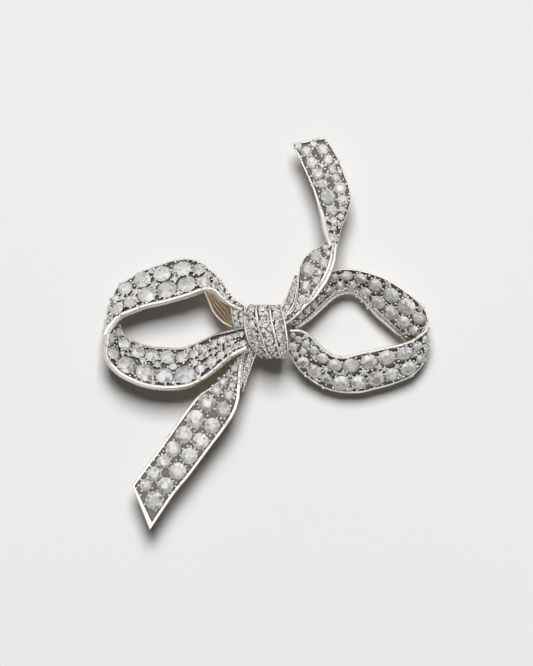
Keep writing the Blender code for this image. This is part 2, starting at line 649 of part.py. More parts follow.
def build_hinge(line, looks):
    """Bracket with two ears, the rivet through them, and the pin stem turning on the rivet."""
    low, high = HINGE_P - EAR_HALF_LENGTH, HINGE_P + EAR_HALF_LENGTH
    profile = (
        (-EAR_OUTER, EAR_BOTTOM), (-EAR_OUTER, -SOLDER_GAP),
        (EAR_OUTER, -SOLDER_GAP), (EAR_OUTER, EAR_BOTTOM),
        (EAR_INNER, EAR_BOTTOM), (EAR_INNER, -BRACKET_WEB),
        (-EAR_INNER, -BRACKET_WEB), (-EAR_INNER, EAR_BOTTOM),
    )
    sides = [[Vector((p, q, z)) for q, z in profile] for p in (low, high)]
    bracket = loft("hinge_bracket", sides, looks["gold"])
    drill = loft("hinge_drill", cylinder(-2 * EAR_OUTER, 2 * EAR_OUTER, PIVOT_HOLE, "q"), looks["gold"])
    combine(bracket, drill, "DIFFERENCE")

    inner = EAR_OUTER + SOLDER_GAP
    crown = inner + RIVET_HEAD_HEIGHT
    brim = inner + RIVET_HEAD_HEIGHT / 2
    head = [
        (inner, PIVOT_RADIUS),
        (inner, RIVET_HEAD_RADIUS),
        (brim, RIVET_HEAD_RADIUS),
        (crown, RIVET_CROWN_RADIUS),
    ]
    stations = [(-q, r) for q, r in reversed(head)] + head
    rivet = loft("hinge_rivet", [turned_ring(q, r, "q") for q, r in stations], looks["gold"])

    eye = loft("pin_stem", cylinder(-EYE_HALF_WIDTH, EYE_HALF_WIDTH, EYE_RADIUS, "q"), looks["gold"])
    stem = loft("pin_wire", [turned_ring(p, r, "p", STEM_SIDES) for p, r in STEM_STATIONS], looks["gold"])
    combine(eye, stem, "UNION")
    combine(eye, drill, "DIFFERENCE")
    for obj in (rivet, eye):
        shade_round(obj)
    place_on_line(line, bracket, drill, rivet, eye, stem)


def build_catch(line, looks):
    """Housing open towards the back, and the roller inside it that turns to close the mouth."""
    gold = looks["gold"]
    half_length, half_width, foot_depth = HOUSING_FOOT
    low, high = (-half_length, -half_width, -foot_depth), (half_length, half_width, -SOLDER_GAP)
    foot = box("catch_housing", low, high, gold)
    ends = (CATCH_P - HOUSING_HALF_LENGTH, CATCH_P + HOUSING_HALF_LENGTH)
    past = (CATCH_P - 2 * HOUSING_HALF_LENGTH, CATCH_P + 2 * HOUSING_HALF_LENGTH)
    reach = HOUSING_HALF_LENGTH
    ring = loft("catch_ring", cylinder(*ends, HOUSING_RADIUS, "p"), gold)
    neck = box("catch_neck", (-reach, -HOUSING_NECK, PIN_Z), (reach, HOUSING_NECK, -foot_depth / 2), gold)
    bore = loft("catch_bore", cylinder(*past, HOUSING_BORE, "p"), gold)
    low, high = (-2 * reach, -HOUSING_MOUTH, PIN_Z - 2 * HOUSING_RADIUS), (2 * reach, HOUSING_MOUTH, PIN_Z)
    mouth = box("catch_mouth", low, high, gold)
    for part, operation in ((ring, "UNION"), (neck, "UNION"), (bore, "DIFFERENCE"), (mouth, "DIFFERENCE")):
        combine(foot, part, operation)

    shoulder = HOUSING_HALF_LENGTH + SOLDER_GAP
    end = ROLLER_HALF_LENGTH
    rings = [
        turned_ring(CATCH_P + p, r, "p")
        for p, r in (
            (-end, FLANGE_RADIUS), (-shoulder, FLANGE_RADIUS), (-shoulder, ROLLER_RADIUS),
            (shoulder, ROLLER_RADIUS), (shoulder, FLANGE_RADIUS), (end, FLANGE_RADIUS),
        )
    ]
    roller = loft("safety_roller", rings, gold)
    tab = box(
        "roller_tab", (-end, -TAB_REACH, PIN_Z - TAB_HALF_HEIGHT),
        (-shoulder - SOLDER_GAP, -TAB_ROOT, PIN_Z + TAB_HALF_HEIGHT), gold,
    )
    eye = loft("roller_bore", cylinder(CATCH_P - 2 * end, CATCH_P + 2 * end, ROLLER_BORE, "p"), gold)
    low, high = (-2 * end, -MOUTH_HALF_WIDTH, PIN_Z - 2 * FLANGE_RADIUS), (2 * end, MOUTH_HALF_WIDTH, PIN_Z)
    slot = box("roller_slot", low, high, gold)
    for part, operation in ((tab, "UNION"), (eye, "DIFFERENCE"), (slot, "DIFFERENCE")):
        combine(roller, part, operation)
    for obj in (foot, roller):
        shade_round(obj)
    place_on_line(line, foot, ring, neck, bore, mouth, roller, tab, eye, slot)


def main():
    clear_scene()
    looks = {
        "silver": material("silver", (0.72, 0.70, 0.66), 1.0, 0.3),
        "gold": material("gold", (0.83, 0.62, 0.33), 1.0, 0.3),
        "diamond": material("diamond", (0.92, 0.93, 0.95), 0.0, 0.02, 1.0, 2.42),
    }
    line = bpy.data.objects.new("pin_line", None)
    line.rotation_euler.z = PIN_ANGLE
    bpy.context.scene.collection.objects.link(line)
    build_ribbons(looks)
    build_knot(looks)
    build_back_bar(line, looks["gold"])
    for name, (p, top) in POSTS.items():
        build_post(line, name, p, top, looks["gold"])
    build_hinge(line, looks)
    build_catch(line, looks)


main()
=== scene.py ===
"""Looks of the ribbon-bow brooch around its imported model: pavé-set silver ribbons with individually cut
stones, gold backs, and the turned pin fittings.

Lengths are in mm until a mesh is made; places are the model's own frame.
"""

import math
import random

import bmesh
import bpy
import numpy as np
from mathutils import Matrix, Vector


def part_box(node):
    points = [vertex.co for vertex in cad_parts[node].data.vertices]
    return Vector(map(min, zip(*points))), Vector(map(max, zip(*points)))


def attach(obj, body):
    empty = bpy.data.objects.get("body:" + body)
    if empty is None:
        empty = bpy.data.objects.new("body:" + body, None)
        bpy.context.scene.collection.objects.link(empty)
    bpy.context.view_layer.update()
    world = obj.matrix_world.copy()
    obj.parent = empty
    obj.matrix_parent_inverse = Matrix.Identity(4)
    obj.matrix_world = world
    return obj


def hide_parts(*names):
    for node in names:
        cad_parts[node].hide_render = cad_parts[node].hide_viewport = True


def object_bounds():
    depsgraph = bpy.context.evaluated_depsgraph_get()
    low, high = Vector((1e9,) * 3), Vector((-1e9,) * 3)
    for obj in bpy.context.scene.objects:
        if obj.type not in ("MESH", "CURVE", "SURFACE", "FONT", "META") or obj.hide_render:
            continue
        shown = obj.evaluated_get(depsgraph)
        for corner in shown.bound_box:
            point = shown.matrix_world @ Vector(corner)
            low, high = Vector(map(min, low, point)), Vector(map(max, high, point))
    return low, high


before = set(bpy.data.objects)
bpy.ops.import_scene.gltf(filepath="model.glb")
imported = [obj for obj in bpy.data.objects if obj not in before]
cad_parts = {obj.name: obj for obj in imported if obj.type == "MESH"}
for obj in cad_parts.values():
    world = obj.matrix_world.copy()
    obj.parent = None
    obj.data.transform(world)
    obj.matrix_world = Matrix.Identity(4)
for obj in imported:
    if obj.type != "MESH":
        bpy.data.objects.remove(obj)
cad_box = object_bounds()

MM = 0.001

# Each ribbon is a row of stations, as in the model: a point on one edge and its partner on the other, both on
# the set face.
RIBBONS = {
    "left_upper": [
        ((-25.3, -0.6, 2.7), (-25.3, 0.0, 0.0)),
        ((-24.7, 0.6, 2.7), (-25.0, 1.8, -0.5)),
        ((-23.8, 1.5, 2.8), (-24.4, 4.2, -0.6)),
        ((-22.8, 2.2, 2.8), (-23.1, 6.8, -0.6)),
        ((-21.1, 2.9, 2.9), (-21.2, 8.2, -0.6)),
        ((-18.9, 3.7, 3.0), (-18.9, 9.4, -0.6)),
        ((-16.6, 4.2, 3.1), (-16.6, 10.2, -0.6)),
        ((-14.3, 4.8, 3.2), (-14.5, 10.9, -0.6)),
        ((-12.0, 5.5, 3.3), (-12.3, 11.1, -0.5)),
        ((-10.5, 6.1, 3.4), (-10.5, 10.6, -0.1)),
        ((-9.2, 6.4, 3.5), (-9.1, 9.5, 0.5)),
        ((-8.0, 6.0, 3.6), (-7.8, 8.4, 1.2)),
        ((-6.8, 4.8, 3.6), (-6.5, 6.7, 1.9)),
        ((-5.6, 3.8, 3.5), (-5.0, 4.9, 2.5)),
        ((-4.0, 3.1, 3.2), (-3.5, 3.9, 2.6)),
    ],
    "left_lower": [
        ((-24.4, -0.6, 2.7), (-22.6, 0.9, -0.5)),
        ((-24.7, -2.3, 2.7), (-22.5, 0.2, -0.6)),
        ((-24.8, -4.0, 2.8), (-22.2, -0.5, -0.6)),
        ((-24.0, -5.5, 2.8), (-21.5, -1.2, -0.6)),
        ((-22.6, -6.8, 2.9), (-20.5, -1.7, -0.6)),
        ((-20.9, -7.7, 2.9), (-19.2, -2.2, -0.6)),
        ((-19.1, -8.4, 2.9), (-17.8, -2.5, -0.6)),
        ((-17.1, -8.8, 2.9), (-16.3, -2.6, -0.6)),
        ((-15.1, -8.9, 2.9), (-14.6, -2.7, -0.6)),
        ((-13.1, -8.7, 3.0), (-12.9, -2.6, -0.6)),
        ((-11.4, -8.2, 3.1), (-11.2, -2.0, -0.4)),
        ((-9.7, -7.2, 3.2), (-9.5, -1.2, 0.0)),
        ((-8.2, -6.0, 3.4), (-8.0, -0.5, 0.5)),
        ((-6.8, -4.8, 3.6), (-6.5, -0.1, 1.0)),
        ((-5.4, -3.8, 3.8), (-5.1, 0.2, 1.4)),
        ((-3.3, -2.7, 3.9), (-3.8, 0.4, 1.7)),
    ],
    "right_upper": [
        ((2.4, 2.0, 2.0), (4.3, -0.2, 0.9)),
        ((3.5, 3.2, 2.1), (5.1, 0.5, 0.8)),
        ((4.9, 4.9, 2.2), (6.6, 1.5, 0.5)),
        ((6.6, 6.6, 2.3), (8.5, 3.2, 0.1)),
        ((8.5, 8.2, 2.5), (10.2, 4.7, -0.3)),
        ((10.5, 9.2, 2.7), (11.5, 5.3, -0.5)),
        ((12.6, 9.3, 2.8), (12.8, 5.4, -0.6)),
        ((14.5, 9.0, 2.9), (14.0, 4.8, -0.6)),
        ((16.3, 8.5, 2.9), (15.2, 3.5, -0.6)),
        ((18.2, 7.8, 2.9), (16.6, 1.9, -0.6)),
        ((20.0, 6.7, 2.9), (18.2, 0.5, -0.6)),
        ((21.7, 5.5, 2.9), (19.7, -0.8, -0.6)),
        ((23.2, 4.2, 2.8), (21.1, -1.8, -0.6)),
        ((24.2, 2.9, 2.7), (22.2, -2.2, -0.6)),
        ((24.6, 1.5, 2.6), (22.6, -1.7, -0.6)),
    ],
    "right_lower": [
        ((3.4, 0.0, 3.4), (3.3, -3.8, 1.4)),
        ((4.9, 0.0, 3.4), (4.6, -6.0, 0.6)),
        ((6.3, -0.7, 3.3), (6.2, -7.5, 0.0)),
        ((7.5, -2.0, 3.2), (7.8, -8.6, -0.4)),
        ((8.8, -3.2, 3.1), (9.4, -9.3, -0.6)),
        ((10.2, -4.0, 3.0), (11.1, -9.7, -0.6)),
        ((12.0, -4.1, 3.0), (12.8, -9.8, -0.6)),
        ((14.2, -3.5, 3.0), (14.6, -9.7, -0.6)),
        ((16.3, -3.1, 3.0), (16.6, -9.2, -0.6)),
        ((18.5, -2.6, 2.9), (18.6, -8.7, -0.6)),
        ((20.5, -2.2, 2.9), (20.5, -8.0, -0.6)),
        ((22.2, -1.6, 2.8), (22.2, -7.2, -0.6)),
        ((23.5, -0.7, 2.7), (23.5, -5.9, -0.6)),
        ((24.4, 0.0, 2.6), (24.5, -4.0, -0.5)),
        ((24.7, 0.8, 2.6), (24.9, -0.6, 0.0)),
    ],
    "lower_tail": [
        ((-3.8, -3.4, 1.9), (-3.2, -2.6, 2.0)),
        ((-4.8, -4.8, 2.0), (-3.7, -3.7, 2.4)),
        ((-6.0, -6.2, 2.1), (-4.1, -5.1, 3.0)),
        ((-7.5, -7.7, 2.1), (-4.2, -6.8, 3.0)),
        ((-9.1, -9.0, 2.2), (-4.3, -8.6, 3.0)),
        ((-10.5, -9.9, 2.3), (-4.5, -10.8, 2.9)),
        ((-11.7, -11.2, 2.4), (-5.2, -12.8, 2.8)),
        ((-13.1, -13.1, 2.5), (-6.5, -14.9, 2.6)),
        ((-14.6, -15.2, 2.6), (-8.2, -17.2, 2.4)),
        ((-16.3, -17.6, 2.6), (-10.0, -19.6, 2.2)),
        ((-18.0, -19.9, 2.5), (-12.0, -22.3, 2.0)),
        ((-19.5, -21.9, 2.3), (-14.6, -25.5, 2.0)),
        ((-20.9, -23.9, 2.1), (-18.2, -30.8, 2.0)),
    ],
    "leaf": [
        ((1.9, 1.5, 3.5), (2.2, 0.4, 3.3)),
        ((2.9, 2.4, 4.0), (3.2, 1.1, 3.7)),
        ((3.8, 3.2, 4.1), (4.5, 2.2, 4.1)),
        ((4.3, 4.6, 4.2), (5.8, 3.6, 4.5)),
        ((4.5, 6.2, 4.2), (7.2, 4.9, 4.8)),
        ((4.6, 7.7, 4.2), (8.2, 6.2, 4.9)),
        ((4.8, 9.4, 4.1), (9.2, 7.7, 4.9)),
        ((5.5, 11.1, 4.0), (9.9, 9.3, 4.8)),
        ((6.7, 12.2, 3.9), (10.3, 10.9, 4.7)),
        ((7.8, 12.7, 3.7), (10.4, 12.2, 4.6)),
        ((8.9, 13.8, 3.5), (10.5, 13.3, 4.4)),
    ],
    "upper_tail": [
        ((3.4, 28.6, 2.0), (8.8, 29.7, 2.0)),
        ((4.5, 27.1, 2.1), (10.3, 27.3, 2.3)),
        ((5.2, 25.5, 2.2), (11.1, 25.7, 2.6)),
        ((6.0, 23.8, 2.4), (11.8, 23.9, 2.8)),
        ((6.7, 22.2, 2.6), (12.5, 22.1, 2.8)),
        ((7.3, 20.5, 2.9), (12.8, 20.3, 2.7)),
        ((7.8, 18.9, 3.2), (12.5, 18.6, 2.5)),
        ((8.3, 17.4, 3.6), (11.9, 17.0, 2.3)),
        ((8.6, 15.8, 4.0), (11.3, 15.4, 2.6)),
        ((9.1, 14.2, 4.4), (11.0, 13.9, 3.2)),
        ((9.5, 12.9, 4.5), (10.7, 12.6, 3.6)),
    ],
}
FOLDS = {
    "lower_tail_fold": [
        ((-3.2, -2.2, 1.7), (-1.5, -3.2, 1.4)),
        ((-3.7, -3.6, 1.9), (-2.1, -4.6, 1.5)),
        ((-4.0, -5.2, 2.1), (-2.7, -6.3, 1.6)),
        ((-4.1, -7.0, 2.3), (-3.3, -8.0, 1.8)),
        ((-4.2, -8.8, 2.4), (-3.8, -9.6, 2.1)),
    ],
    "leaf_fold": [
        ((1.6, 2.9, 2.9), (2.6, 2.0, 3.5)),
        ((2.3, 4.0, 3.0), (3.4, 3.0, 3.7)),
        ((2.8, 5.1, 3.1), (4.1, 4.2, 3.8)),
        ((3.2, 6.3, 3.2), (4.4, 5.6, 3.8)),
        ((3.6, 7.4, 3.4), (4.6, 6.9, 3.8)),
        ((4.0, 8.5, 3.5), (4.7, 8.2, 3.8)),
    ],
    "left_fold": [
        ((-5.8, 3.8, 2.9), (-3.5, 3.5, 3.2)),
        ((-5.7, 2.5, 2.6), (-3.4, 2.4, 3.0)),
        ((-5.5, 1.3, 2.3), (-3.3, 1.3, 2.7)),
        ((-5.1, 0.3, 2.1), (-3.3, 0.3, 2.3)),
    ],
}
LINING = [
    ((-9.8, 5.7, 2.0), (-9.2, 6.0, 2.5)),
    ((-9.2, 4.4, 1.5), (-8.0, 5.4, 2.8)),
    ((-8.5, 2.8, 1.2), (-6.8, 4.3, 2.9)),
    ((-7.2, 1.3, 1.0), (-5.8, 3.0, 2.7)),
    ((-5.6, 0.4, 1.3), (-5.3, 1.2, 2.2)),
]
# The end with a rim across it: 0 at the first station, 1 at the last
CUT_ENDS = {"lower_tail": 1, "upper_tail": 0}
# Values spread evenly along a ribbon: rim widths in mm, and plate thickness as a share of the full one.
RIMS = {
    "left_upper": ([0.45], [0.35]),
    "left_lower": ([0.45], [0.4]),
    "right_upper": ([0.14], [0.4, 1.0, 1.5, 1.6, 1.3, 0.8]),
    "right_lower": ([0.4], [0.45]),
    "lower_tail": ([0.45], [0.5]),
    "leaf": ([0.2], [0.7, 1.0, 1.1, 1.0, 0.7]),
    "upper_tail": ([0.3, 0.3, 0.35, 0.6, 0.9], [0.2]),
}
THICKNESS = {
    "left_upper": [0.7, 1.0, 1.0, 1.0, 1.0, 1.0, 0.5],
    "left_lower": [0.7, 1.0, 1.0, 1.0, 1.0, 1.0, 0.7],
    "right_upper": [1.0, 1.0, 1.0, 1.0, 1.0, 0.4],
    "right_lower": [0.7, 1.0, 1.0, 1.0, 1.0, 0.4],
    "lower_tail": [0.3, 0.35, 0.5, 1.0, 1.0, 1.0],
    "leaf": [0.6],
    "upper_tail": [1.0, 1.0, 1.0, 0.6],
}
# Stone rows: shares of the way across from the first edge, first and last station, diameters in mm.
ROWS = {
    "left_upper": [
        ("front", [0.3, 0.3, 0.34], 2.1, 13.7, [1.8, 1.9, 2.3, 2.7, 2.3, 1.8, 1.3, 0.8, 0.8, 0.8, 0.7]),
        ("back", [0.78, 0.74, 0.72, 0.7], 1.6, 13.7,
         [0.9, 1.4, 2.0, 2.3, 2.4, 2.3, 1.5, 1.0, 1.0, 0.9, 0.8, 0.7, 0.7]),
    ],
    "left_lower": [
        ("front", [0.32, 0.29], 0.3, 15.0, [1.5, 1.7, 2.5, 2.3, 2.3, 2.6, 1.4, 1.5, 1.2, 0.9, 0.9, 0.8]),
        ("back", [0.8, 0.73], 0.2, 15.0, [1.4, 2.0, 2.0, 1.9, 2.0, 1.8, 1.4, 1.4, 1.4, 1.2, 0.9, 0.9, 0.8]),
    ],
    "right_upper": [
        ("front", [0.26, 0.3], 1.2, 13.7, [0.8, 0.9, 1.0, 1.1, 1.3, 1.2, 1.7, 1.5, 2.2, 2.3, 2.2, 1.9]),
        ("back", [0.62, 0.65], 1.2, 13.6, [0.8, 0.9, 1.0, 1.0, 1.4, 1.2, 1.5, 1.7, 2.0, 1.7, 1.9, 1.2]),
    ],
    "right_lower": [
        ("front", [0.26, 0.28], 0.6, 13.2, [0.8, 0.9, 1.1, 1.3, 1.7, 2.0, 2.0, 2.1, 1.9, 1.3, 1.0]),
        ("back", [0.73, 0.73], 0.4, 13.2, [0.9, 1.6, 1.7, 1.6, 2.0, 2.1, 2.0, 1.9, 2.2, 1.4, 1.0]),
    ],
    "lower_tail": [
        ("left", [0.32, 0.28], 2.4, 11.6, [0.9, 1.3, 1.4, 2.6, 2.6, 2.4, 2.2, 1.9, 2.0, 1.6]),
        ("right", [0.72, 0.72, 0.68], 3.6, 11.7, [0.8, 1.4, 2.3, 2.3, 2.2, 2.2, 2.3, 2.2, 2.1]),
    ],
    "leaf": [
        ("left", [0.5, 0.4, 0.28, 0.26, 0.36], 2.2, 9.7, [0.9, 1.2, 2.0, 2.1, 1.8, 1.2]),
        ("right", [0.66, 0.64], 4.4, 9.0, [0.9, 1.1, 1.0, 1.5, 1.0]),
    ],
    "upper_tail": [
        ("left", [0.28, 0.28, 0.32, 0.42, 0.62], 0.4, 8.2, [1.9, 2.0, 1.9, 1.7, 2.5, 1.9, 1.4, 0.9]),
        ("right", [0.73, 0.72, 0.74, 0.78], 0.4, 6.4, [2.1, 1.9, 1.6, 1.6, 2.2, 1.9, 1.3]),
    ],
    "lower_tail_fold": [("row", [0.58], 0.5, 3.4, [0.7, 1.0, 1.2, 1.0, 0.8, 0.6])],
    "leaf_fold": [("row", [0.5], 0.6, 4.7, [0.9, 0.9, 0.8, 0.8, 0.6, 0.5])],
    "left_fold": [
        ("row", [0.68], 0.2, 2.9, [0.8, 0.9, 1.2, 0.7]),
        ("left", [0.26], 0.5, 2.9, [0.8, 0.7, 0.8]),
    ],
}
# Knot, from top to bottom: y, then x of the left edge, the two ridges and the right edge, then their heights.
KNOT_ROWS = [
    (3.8, -2.9, -1.7, 0.2, 1.9, 2.2, 3.6, 3.6, 2.8),
    (2.9, -3.4, -1.8, 0.3, 2.1, 3.0, 4.9, 4.8, 3.6),
    (1.5, -3.5, -1.6, 0.5, 2.5, 3.6, 5.7, 5.5, 4.2),
    (0.2, -3.4, -1.4, 0.8, 2.7, 3.8, 6.0, 5.8, 4.4),
    (-1.2, -3.1, -0.9, 1.1, 2.9, 3.7, 5.9, 5.7, 4.4),
    (-2.5, -2.5, -0.5, 1.4, 2.9, 3.3, 5.4, 5.2, 4.0),
    (-3.4, -1.8, -0.1, 1.7, 2.9, 2.8, 4.6, 4.4, 3.5),
    (-4.2, -0.9, 0.5, 1.9, 2.7, 2.1, 3.3, 3.3, 2.7),
]

# Section sizes, in mm
SILVER = 0.95
GOLD = 0.35
SOLDER_GAP = 0.04
BED = 0.34
FOLD_THICKNESS = 0.45
FOLD_RIM = 0.25
FOLD_BED = 0.2
EDGE_ROUND = 0.14  # rounding of a rim's outer edge
BACK_ROUND = 0.1  # rounding of a gold edge
PLATE_CHAMFER = 0.06
END_RIM_WIDTHS = {"lower_tail": 0.65, "upper_tail": 0.3}
BACKING_INSET = 0.5
# How far the first edge's wall leans in under the set face
UNDERCUTS = {"right_upper": 0.55, "right_lower": 0.4}
CELL = 0.13  # size of a fine mesh cell on the set faces
BACKING_CELL = CELL * 1.6
RIM_SHARES = np.array([0.0, 0.05, 0.14, 0.28, 0.5, 0.72, 0.86, 1.0])  # mesh lines across a rim
RIM_STEP = 0.12  # width of the step from rim to bed
RIM_STEP_START = 0.85  # where that step starts, as a share of the rim
MOST_RIM = 0.3  # of the ribbon's width
GROOVED_RIM = 0.6  # a rim wider than this has a groove along it
GROOVE_DEPTH = 0.1
GROOVE_WIDTH = 0.07
LEAST_FLOOR = 0.07  # silver left under the deepest seat
OPENING_SHARE = 0.62  # radius of the opening behind a stone, as a share of the stone's
OPENING_SLOPE = 1.6
OPENING_DEPTH = 0.26
LINING_RIDGES = 9
LINING_RIDGE = 0.05
LINING_RIM = 0.08

# Stones and grains, in mm or as shares of the stone's radius
GIRDLE_LEVEL = -0.06  # from the rim's top
GIRDLE_HEIGHT = 0.05
PAVILION_SLOPE = math.tan(math.radians(40.5))
CROWN_SLOPE = math.tan(math.radians(35))
SEAT_SLOPE = math.tan(math.radians(43))
SEAT_GAP = 0.05
SEAT_SHARE = 0.98
BRIGHT_SHARE = 0.85  # of the seat, left bright behind the stone
DARK_REFLECTION_SHARE = 0.2  # share of a stone's facets given a painted dark reflection
STONE_TILT = 0.05
LEAST_DEPTH = 0.2
DEPTH_KEPT = 0.12  # silver between a stone's point and the back of its plate
STONE_SPACE = 0.03  # between neighbours in a row
RIM_KEPT = 0.75  # share of a rim that stones leave free
MOST_GROWTH = 1.3
MOST_FILL = 1.22  # most that stones grow to fill their row
GAP_TRIES = 1500
GAP_RADII = {"lower_tail": (0.5, 0.7), "leaf_fold": (0.25, 0.4), "left_fold": (0.25, 0.4)}
OTHER_GAP_RADII = (0.36, 0.75)
KNOT_GAP_RADII = (0.2, 0.42)
GRAIN_RADIUS = 0.2
GRAIN_ROOT = 1.8  # how much longer a grain's lower half is
GRAIN_LEVEL = GIRDLE_LEVEL + 0.02
GRAIN_SPOTS = 14  # places tried round each stone
GRAIN_OUT = 0.13  # from the stone's edge
GRAIN_SPACING = 0.56
WIDE_SPACING = 1.35  # times that, where no other stone is near
FILLER_SPACING = 0.46
FILLER_TRIES = 4  # per square mm of ribbon
FILLER_CLEARANCE = 0.06
GRAIN_MARGIN = 0.32  # least distance from a ribbon's edge
MARKS = 200  # places along a ribbon where distances are measured

KNOT_WALL = 0.7
KNOT_BASE = 0.75
KNOT_RIM = 0.17
KNOT_RIM_HEIGHT = 0.2
KNOT_STEPS = 90
KNOT_CELL = 0.11
KNOT_MARGIN = 0.2
KNOT_LABELS = ("left", "middle", "right")
# Larger stones of each facet: share of the way across, first and last row, diameters.
KNOT_STONES = {
    "left": (0.5, 0.4, 6.6, [1.0, 1.2, 1.4, 1.4, 1.2, 1.0, 0.8]),
    "middle": (0.4, 0.3, 1.2, [1.2]),
    "right": (0.5, 0.3, 6.6, [0.8, 1.3, 1.2, 0.8, 1.4, 1.2, 0.9]),
}


# ---- meshes ----


def add_object(name, points, faces, look, sharp_angle=None, smooth=True):
    """A mesh object from points in mm, with its faces turned outwards."""
    mesh = bpy.data.meshes.new(name)
    mesh.from_pydata([tuple(point) for point in np.asarray(points) * MM], [], faces)
    mesh.materials.append(look)
    work = bmesh.new()
    work.from_mesh(mesh)
    bmesh.ops.recalc_face_normals(work, faces=work.faces)
    work.to_mesh(mesh)
    work.free()
    if smooth:
        mesh.shade_smooth()
    if sharp_angle:
        mesh.set_sharp_from_angle(angle=math.radians(sharp_angle))
    obj = bpy.data.objects.new(name, mesh)
    bpy.context.scene.collection.objects.link(obj)
    return obj


def set_values(obj, name, domain, values):
    attribute = obj.data.attributes.new(name, "FLOAT", domain)
    attribute.data.foreach_set("value", np.asarray(values, np.float32))


def loft_faces(ring_count, ring_size):
    """Quads between closed rings, and a cap on each end."""
    faces = []
    for i in range(ring_count - 1):
        a, b = i * ring_size, (i + 1) * ring_size
        for j in range(ring_size):
            k = (j + 1) % ring_size
            faces.append((a + j, a + k, b + k, b + j))
    faces.append(tuple(reversed(range(ring_size))))
    faces.append(tuple(range((ring_count - 1) * ring_size, ring_count * ring_size)))
    return faces


def smoothstep(values):
    values = np.clip(values, 0.0, 1.0)
    return values * values * (3 - 2 * values)


def rounding(distance, radius):
    """Depth below a flat top at this distance in from its rounded edge."""
    inside = np.clip(radius - distance, 0.0, radius)
    return radius - np.sqrt(radius**2 - inside**2)


def lengths(vectors):
    return np.linalg.norm(vectors, axis=-1)


def unit(vectors):
    return vectors / np.linalg.norm(vectors, axis=-1, keepdims=True)


def travel(points):
    """Distance along a line of points, at each of them."""
    return np.concatenate([[0], np.cumsum(lengths(np.diff(points, axis=0)))])


def spread(values, share):
    """Value at a share of the way along evenly spread values."""
    return np.interp(np.asarray(share, float) * (len(values) - 1), range(len(values)), values)


def spline(points, t):
    """Catmull-Rom curve through the rows of points, at the parameters t counted in points."""
    t = np.atleast_1d(np.asarray(t, float))
    padded = np.vstack([2 * points[0] - points[1], points, 2 * points[-1] - points[-2]])
    i = np.clip(np.floor(t).astype(int), 0, len(points) - 2)
    f = (t - i)[:, None]
    p0, p1, p2, p3 = (padded[i + k] for k in range(4))
    square = (2 * p0 - 5 * p1 + 4 * p2 - p3) * f**2
    cube = (3 * p1 - p0 - 3 * p2 + p3) * f**3
    return 0.5 * (2 * p1 + (p2 - p0) * f + square + cube)


def over_face(frames, u, height):
    """For each frame a row of points, u across from the first edge and at a height over the set face."""
    edge, across, normal, _ = frames
    return edge[:, None, :] + across[:, None, :] * u[..., None] + normal[:, None, :] * height[..., None]


def strip_object(name, frames, u, height, tarnish_and_shade, look):
    """Closed solid from a ring of points round each frame, and its darkening: tarnish and painted shade."""
    points = over_face(frames, u, height).reshape(-1, 3)
    obj = add_object(name, points, loft_faces(*u.shape), look, sharp_angle=50)
    set_values(obj, "tarnish_and_shade", "POINT", tarnish_and_shade.reshape(-1))
    return obj


# ---- ribbons ----


class Ribbon:
    """A ruled strip between two edge curves, with its set face towards +Z."""

    def __init__(self, stations, thicknesses=(1.0,)):
        self.first = np.array([station[0] for station in stations], float)
        self.second = np.array([station[1] for station in stations], float)
        self.thicknesses = thicknesses
        self.last = len(stations) - 1
        self.side = 1.0
        self.side = math.copysign(1.0, self.frames(self.last / 2)[2][0, 2])

    def both_edges(self, t):
        return spline(self.first, t) + spline(self.second, t)

    def frames(self, t):
        """Points on the first edge, unit vectors across, unit normals of the set face, and widths."""
        t = np.atleast_1d(np.asarray(t, float))
        edge = spline(self.first, t)
        reach = spline(self.second, t) - edge
        width = lengths(reach)
        across = reach / width[:, None]
        low, high = np.clip(t - 0.02, 0, self.last), np.clip(t + 0.02, 0, self.last)
        along = self.both_edges(high) - self.both_edges(low)
        return edge, across, unit(np.cross(along, across)) * self.side, width

    def point(self, t, share):
        edge, across, _, width = self.frames(t)
        return edge + across * (width * share)[:, None]

    def thickness_share(self, t):
        return spread(self.thicknesses, t / self.last)

    def even_steps(self, cell):
        """Parameters about one cell apart along the ribbon's middle, and the length travelled at each."""
        marks = np.linspace(0, self.last, 40 * self.last + 1)
        travelled = travel(self.point(marks, np.full(len(marks), 0.5)))
        wanted = np.linspace(0, travelled[-1], int(travelled[-1] / cell) + 1)
        return np.interp(wanted, travelled, marks), wanted


class Stone:
    def __init__(self, centre, normal, along, radius):
        self.centre = centre
        self.normal = normal
        self.along = along
        self.radius = radius

    def distance(self, points):
        """Distance of points from the stone's axis."""
        away = points - self.centre
        return lengths(away - (away @ self.normal)[..., None] * self.normal)

    def cut_seat(self, base, level, near_share, height, tarnish_and_shade):
        """Height and darkening (tarnish and painted shade) of a face with a cone cut for this stone, bright
        in its middle.
        """
        away = self.distance(base)
        reach = self.radius * SEAT_SHARE
        seat = level + GIRDLE_LEVEL - SEAT_GAP - (reach - away) * SEAT_SLOPE
        near = (away < reach) & (lengths(base - self.centre) < self.radius * near_share)
        bright = near & (away < self.radius * BRIGHT_SHARE)
        return np.where(near, np.minimum(height, seat), height), np.where(bright, 0.0, tarnish_and_shade)


def row_of_stones(curve, normal_at, start, end, diameters):
    """Stones one after another along a curve, spaced to fill it."""
    marks = np.linspace(start, end, 2 * MARKS + 1)
    travelled = travel(curve(marks))
    spaces = STONE_SPACE * (len(diameters) - 1)
    fill = min(MOST_FILL, (travelled[-1] - spaces) / sum(diameters))
    diameters = [diameter * fill for diameter in diameters]
    spare = (travelled[-1] - sum(diameters)) / (len(diameters) - 1)
    stones = []
    reach = 0.0
    for diameter in diameters:
        t = float(np.interp(reach + diameter / 2, travelled, marks))
        normal = normal_at(t)[0]
        along = (curve(min(t + 0.05, end)) - curve(max(t - 0.05, start)))[0]
        along = unit(along - normal * (along @ normal))
        stones.append(Stone(curve(t)[0], normal, along, diameter / 2))
        reach += diameter + spare
    return stones


def random_values(low, high, rng):
    return np.array([rng.uniform(low, high) for _ in range(GAP_TRIES)])


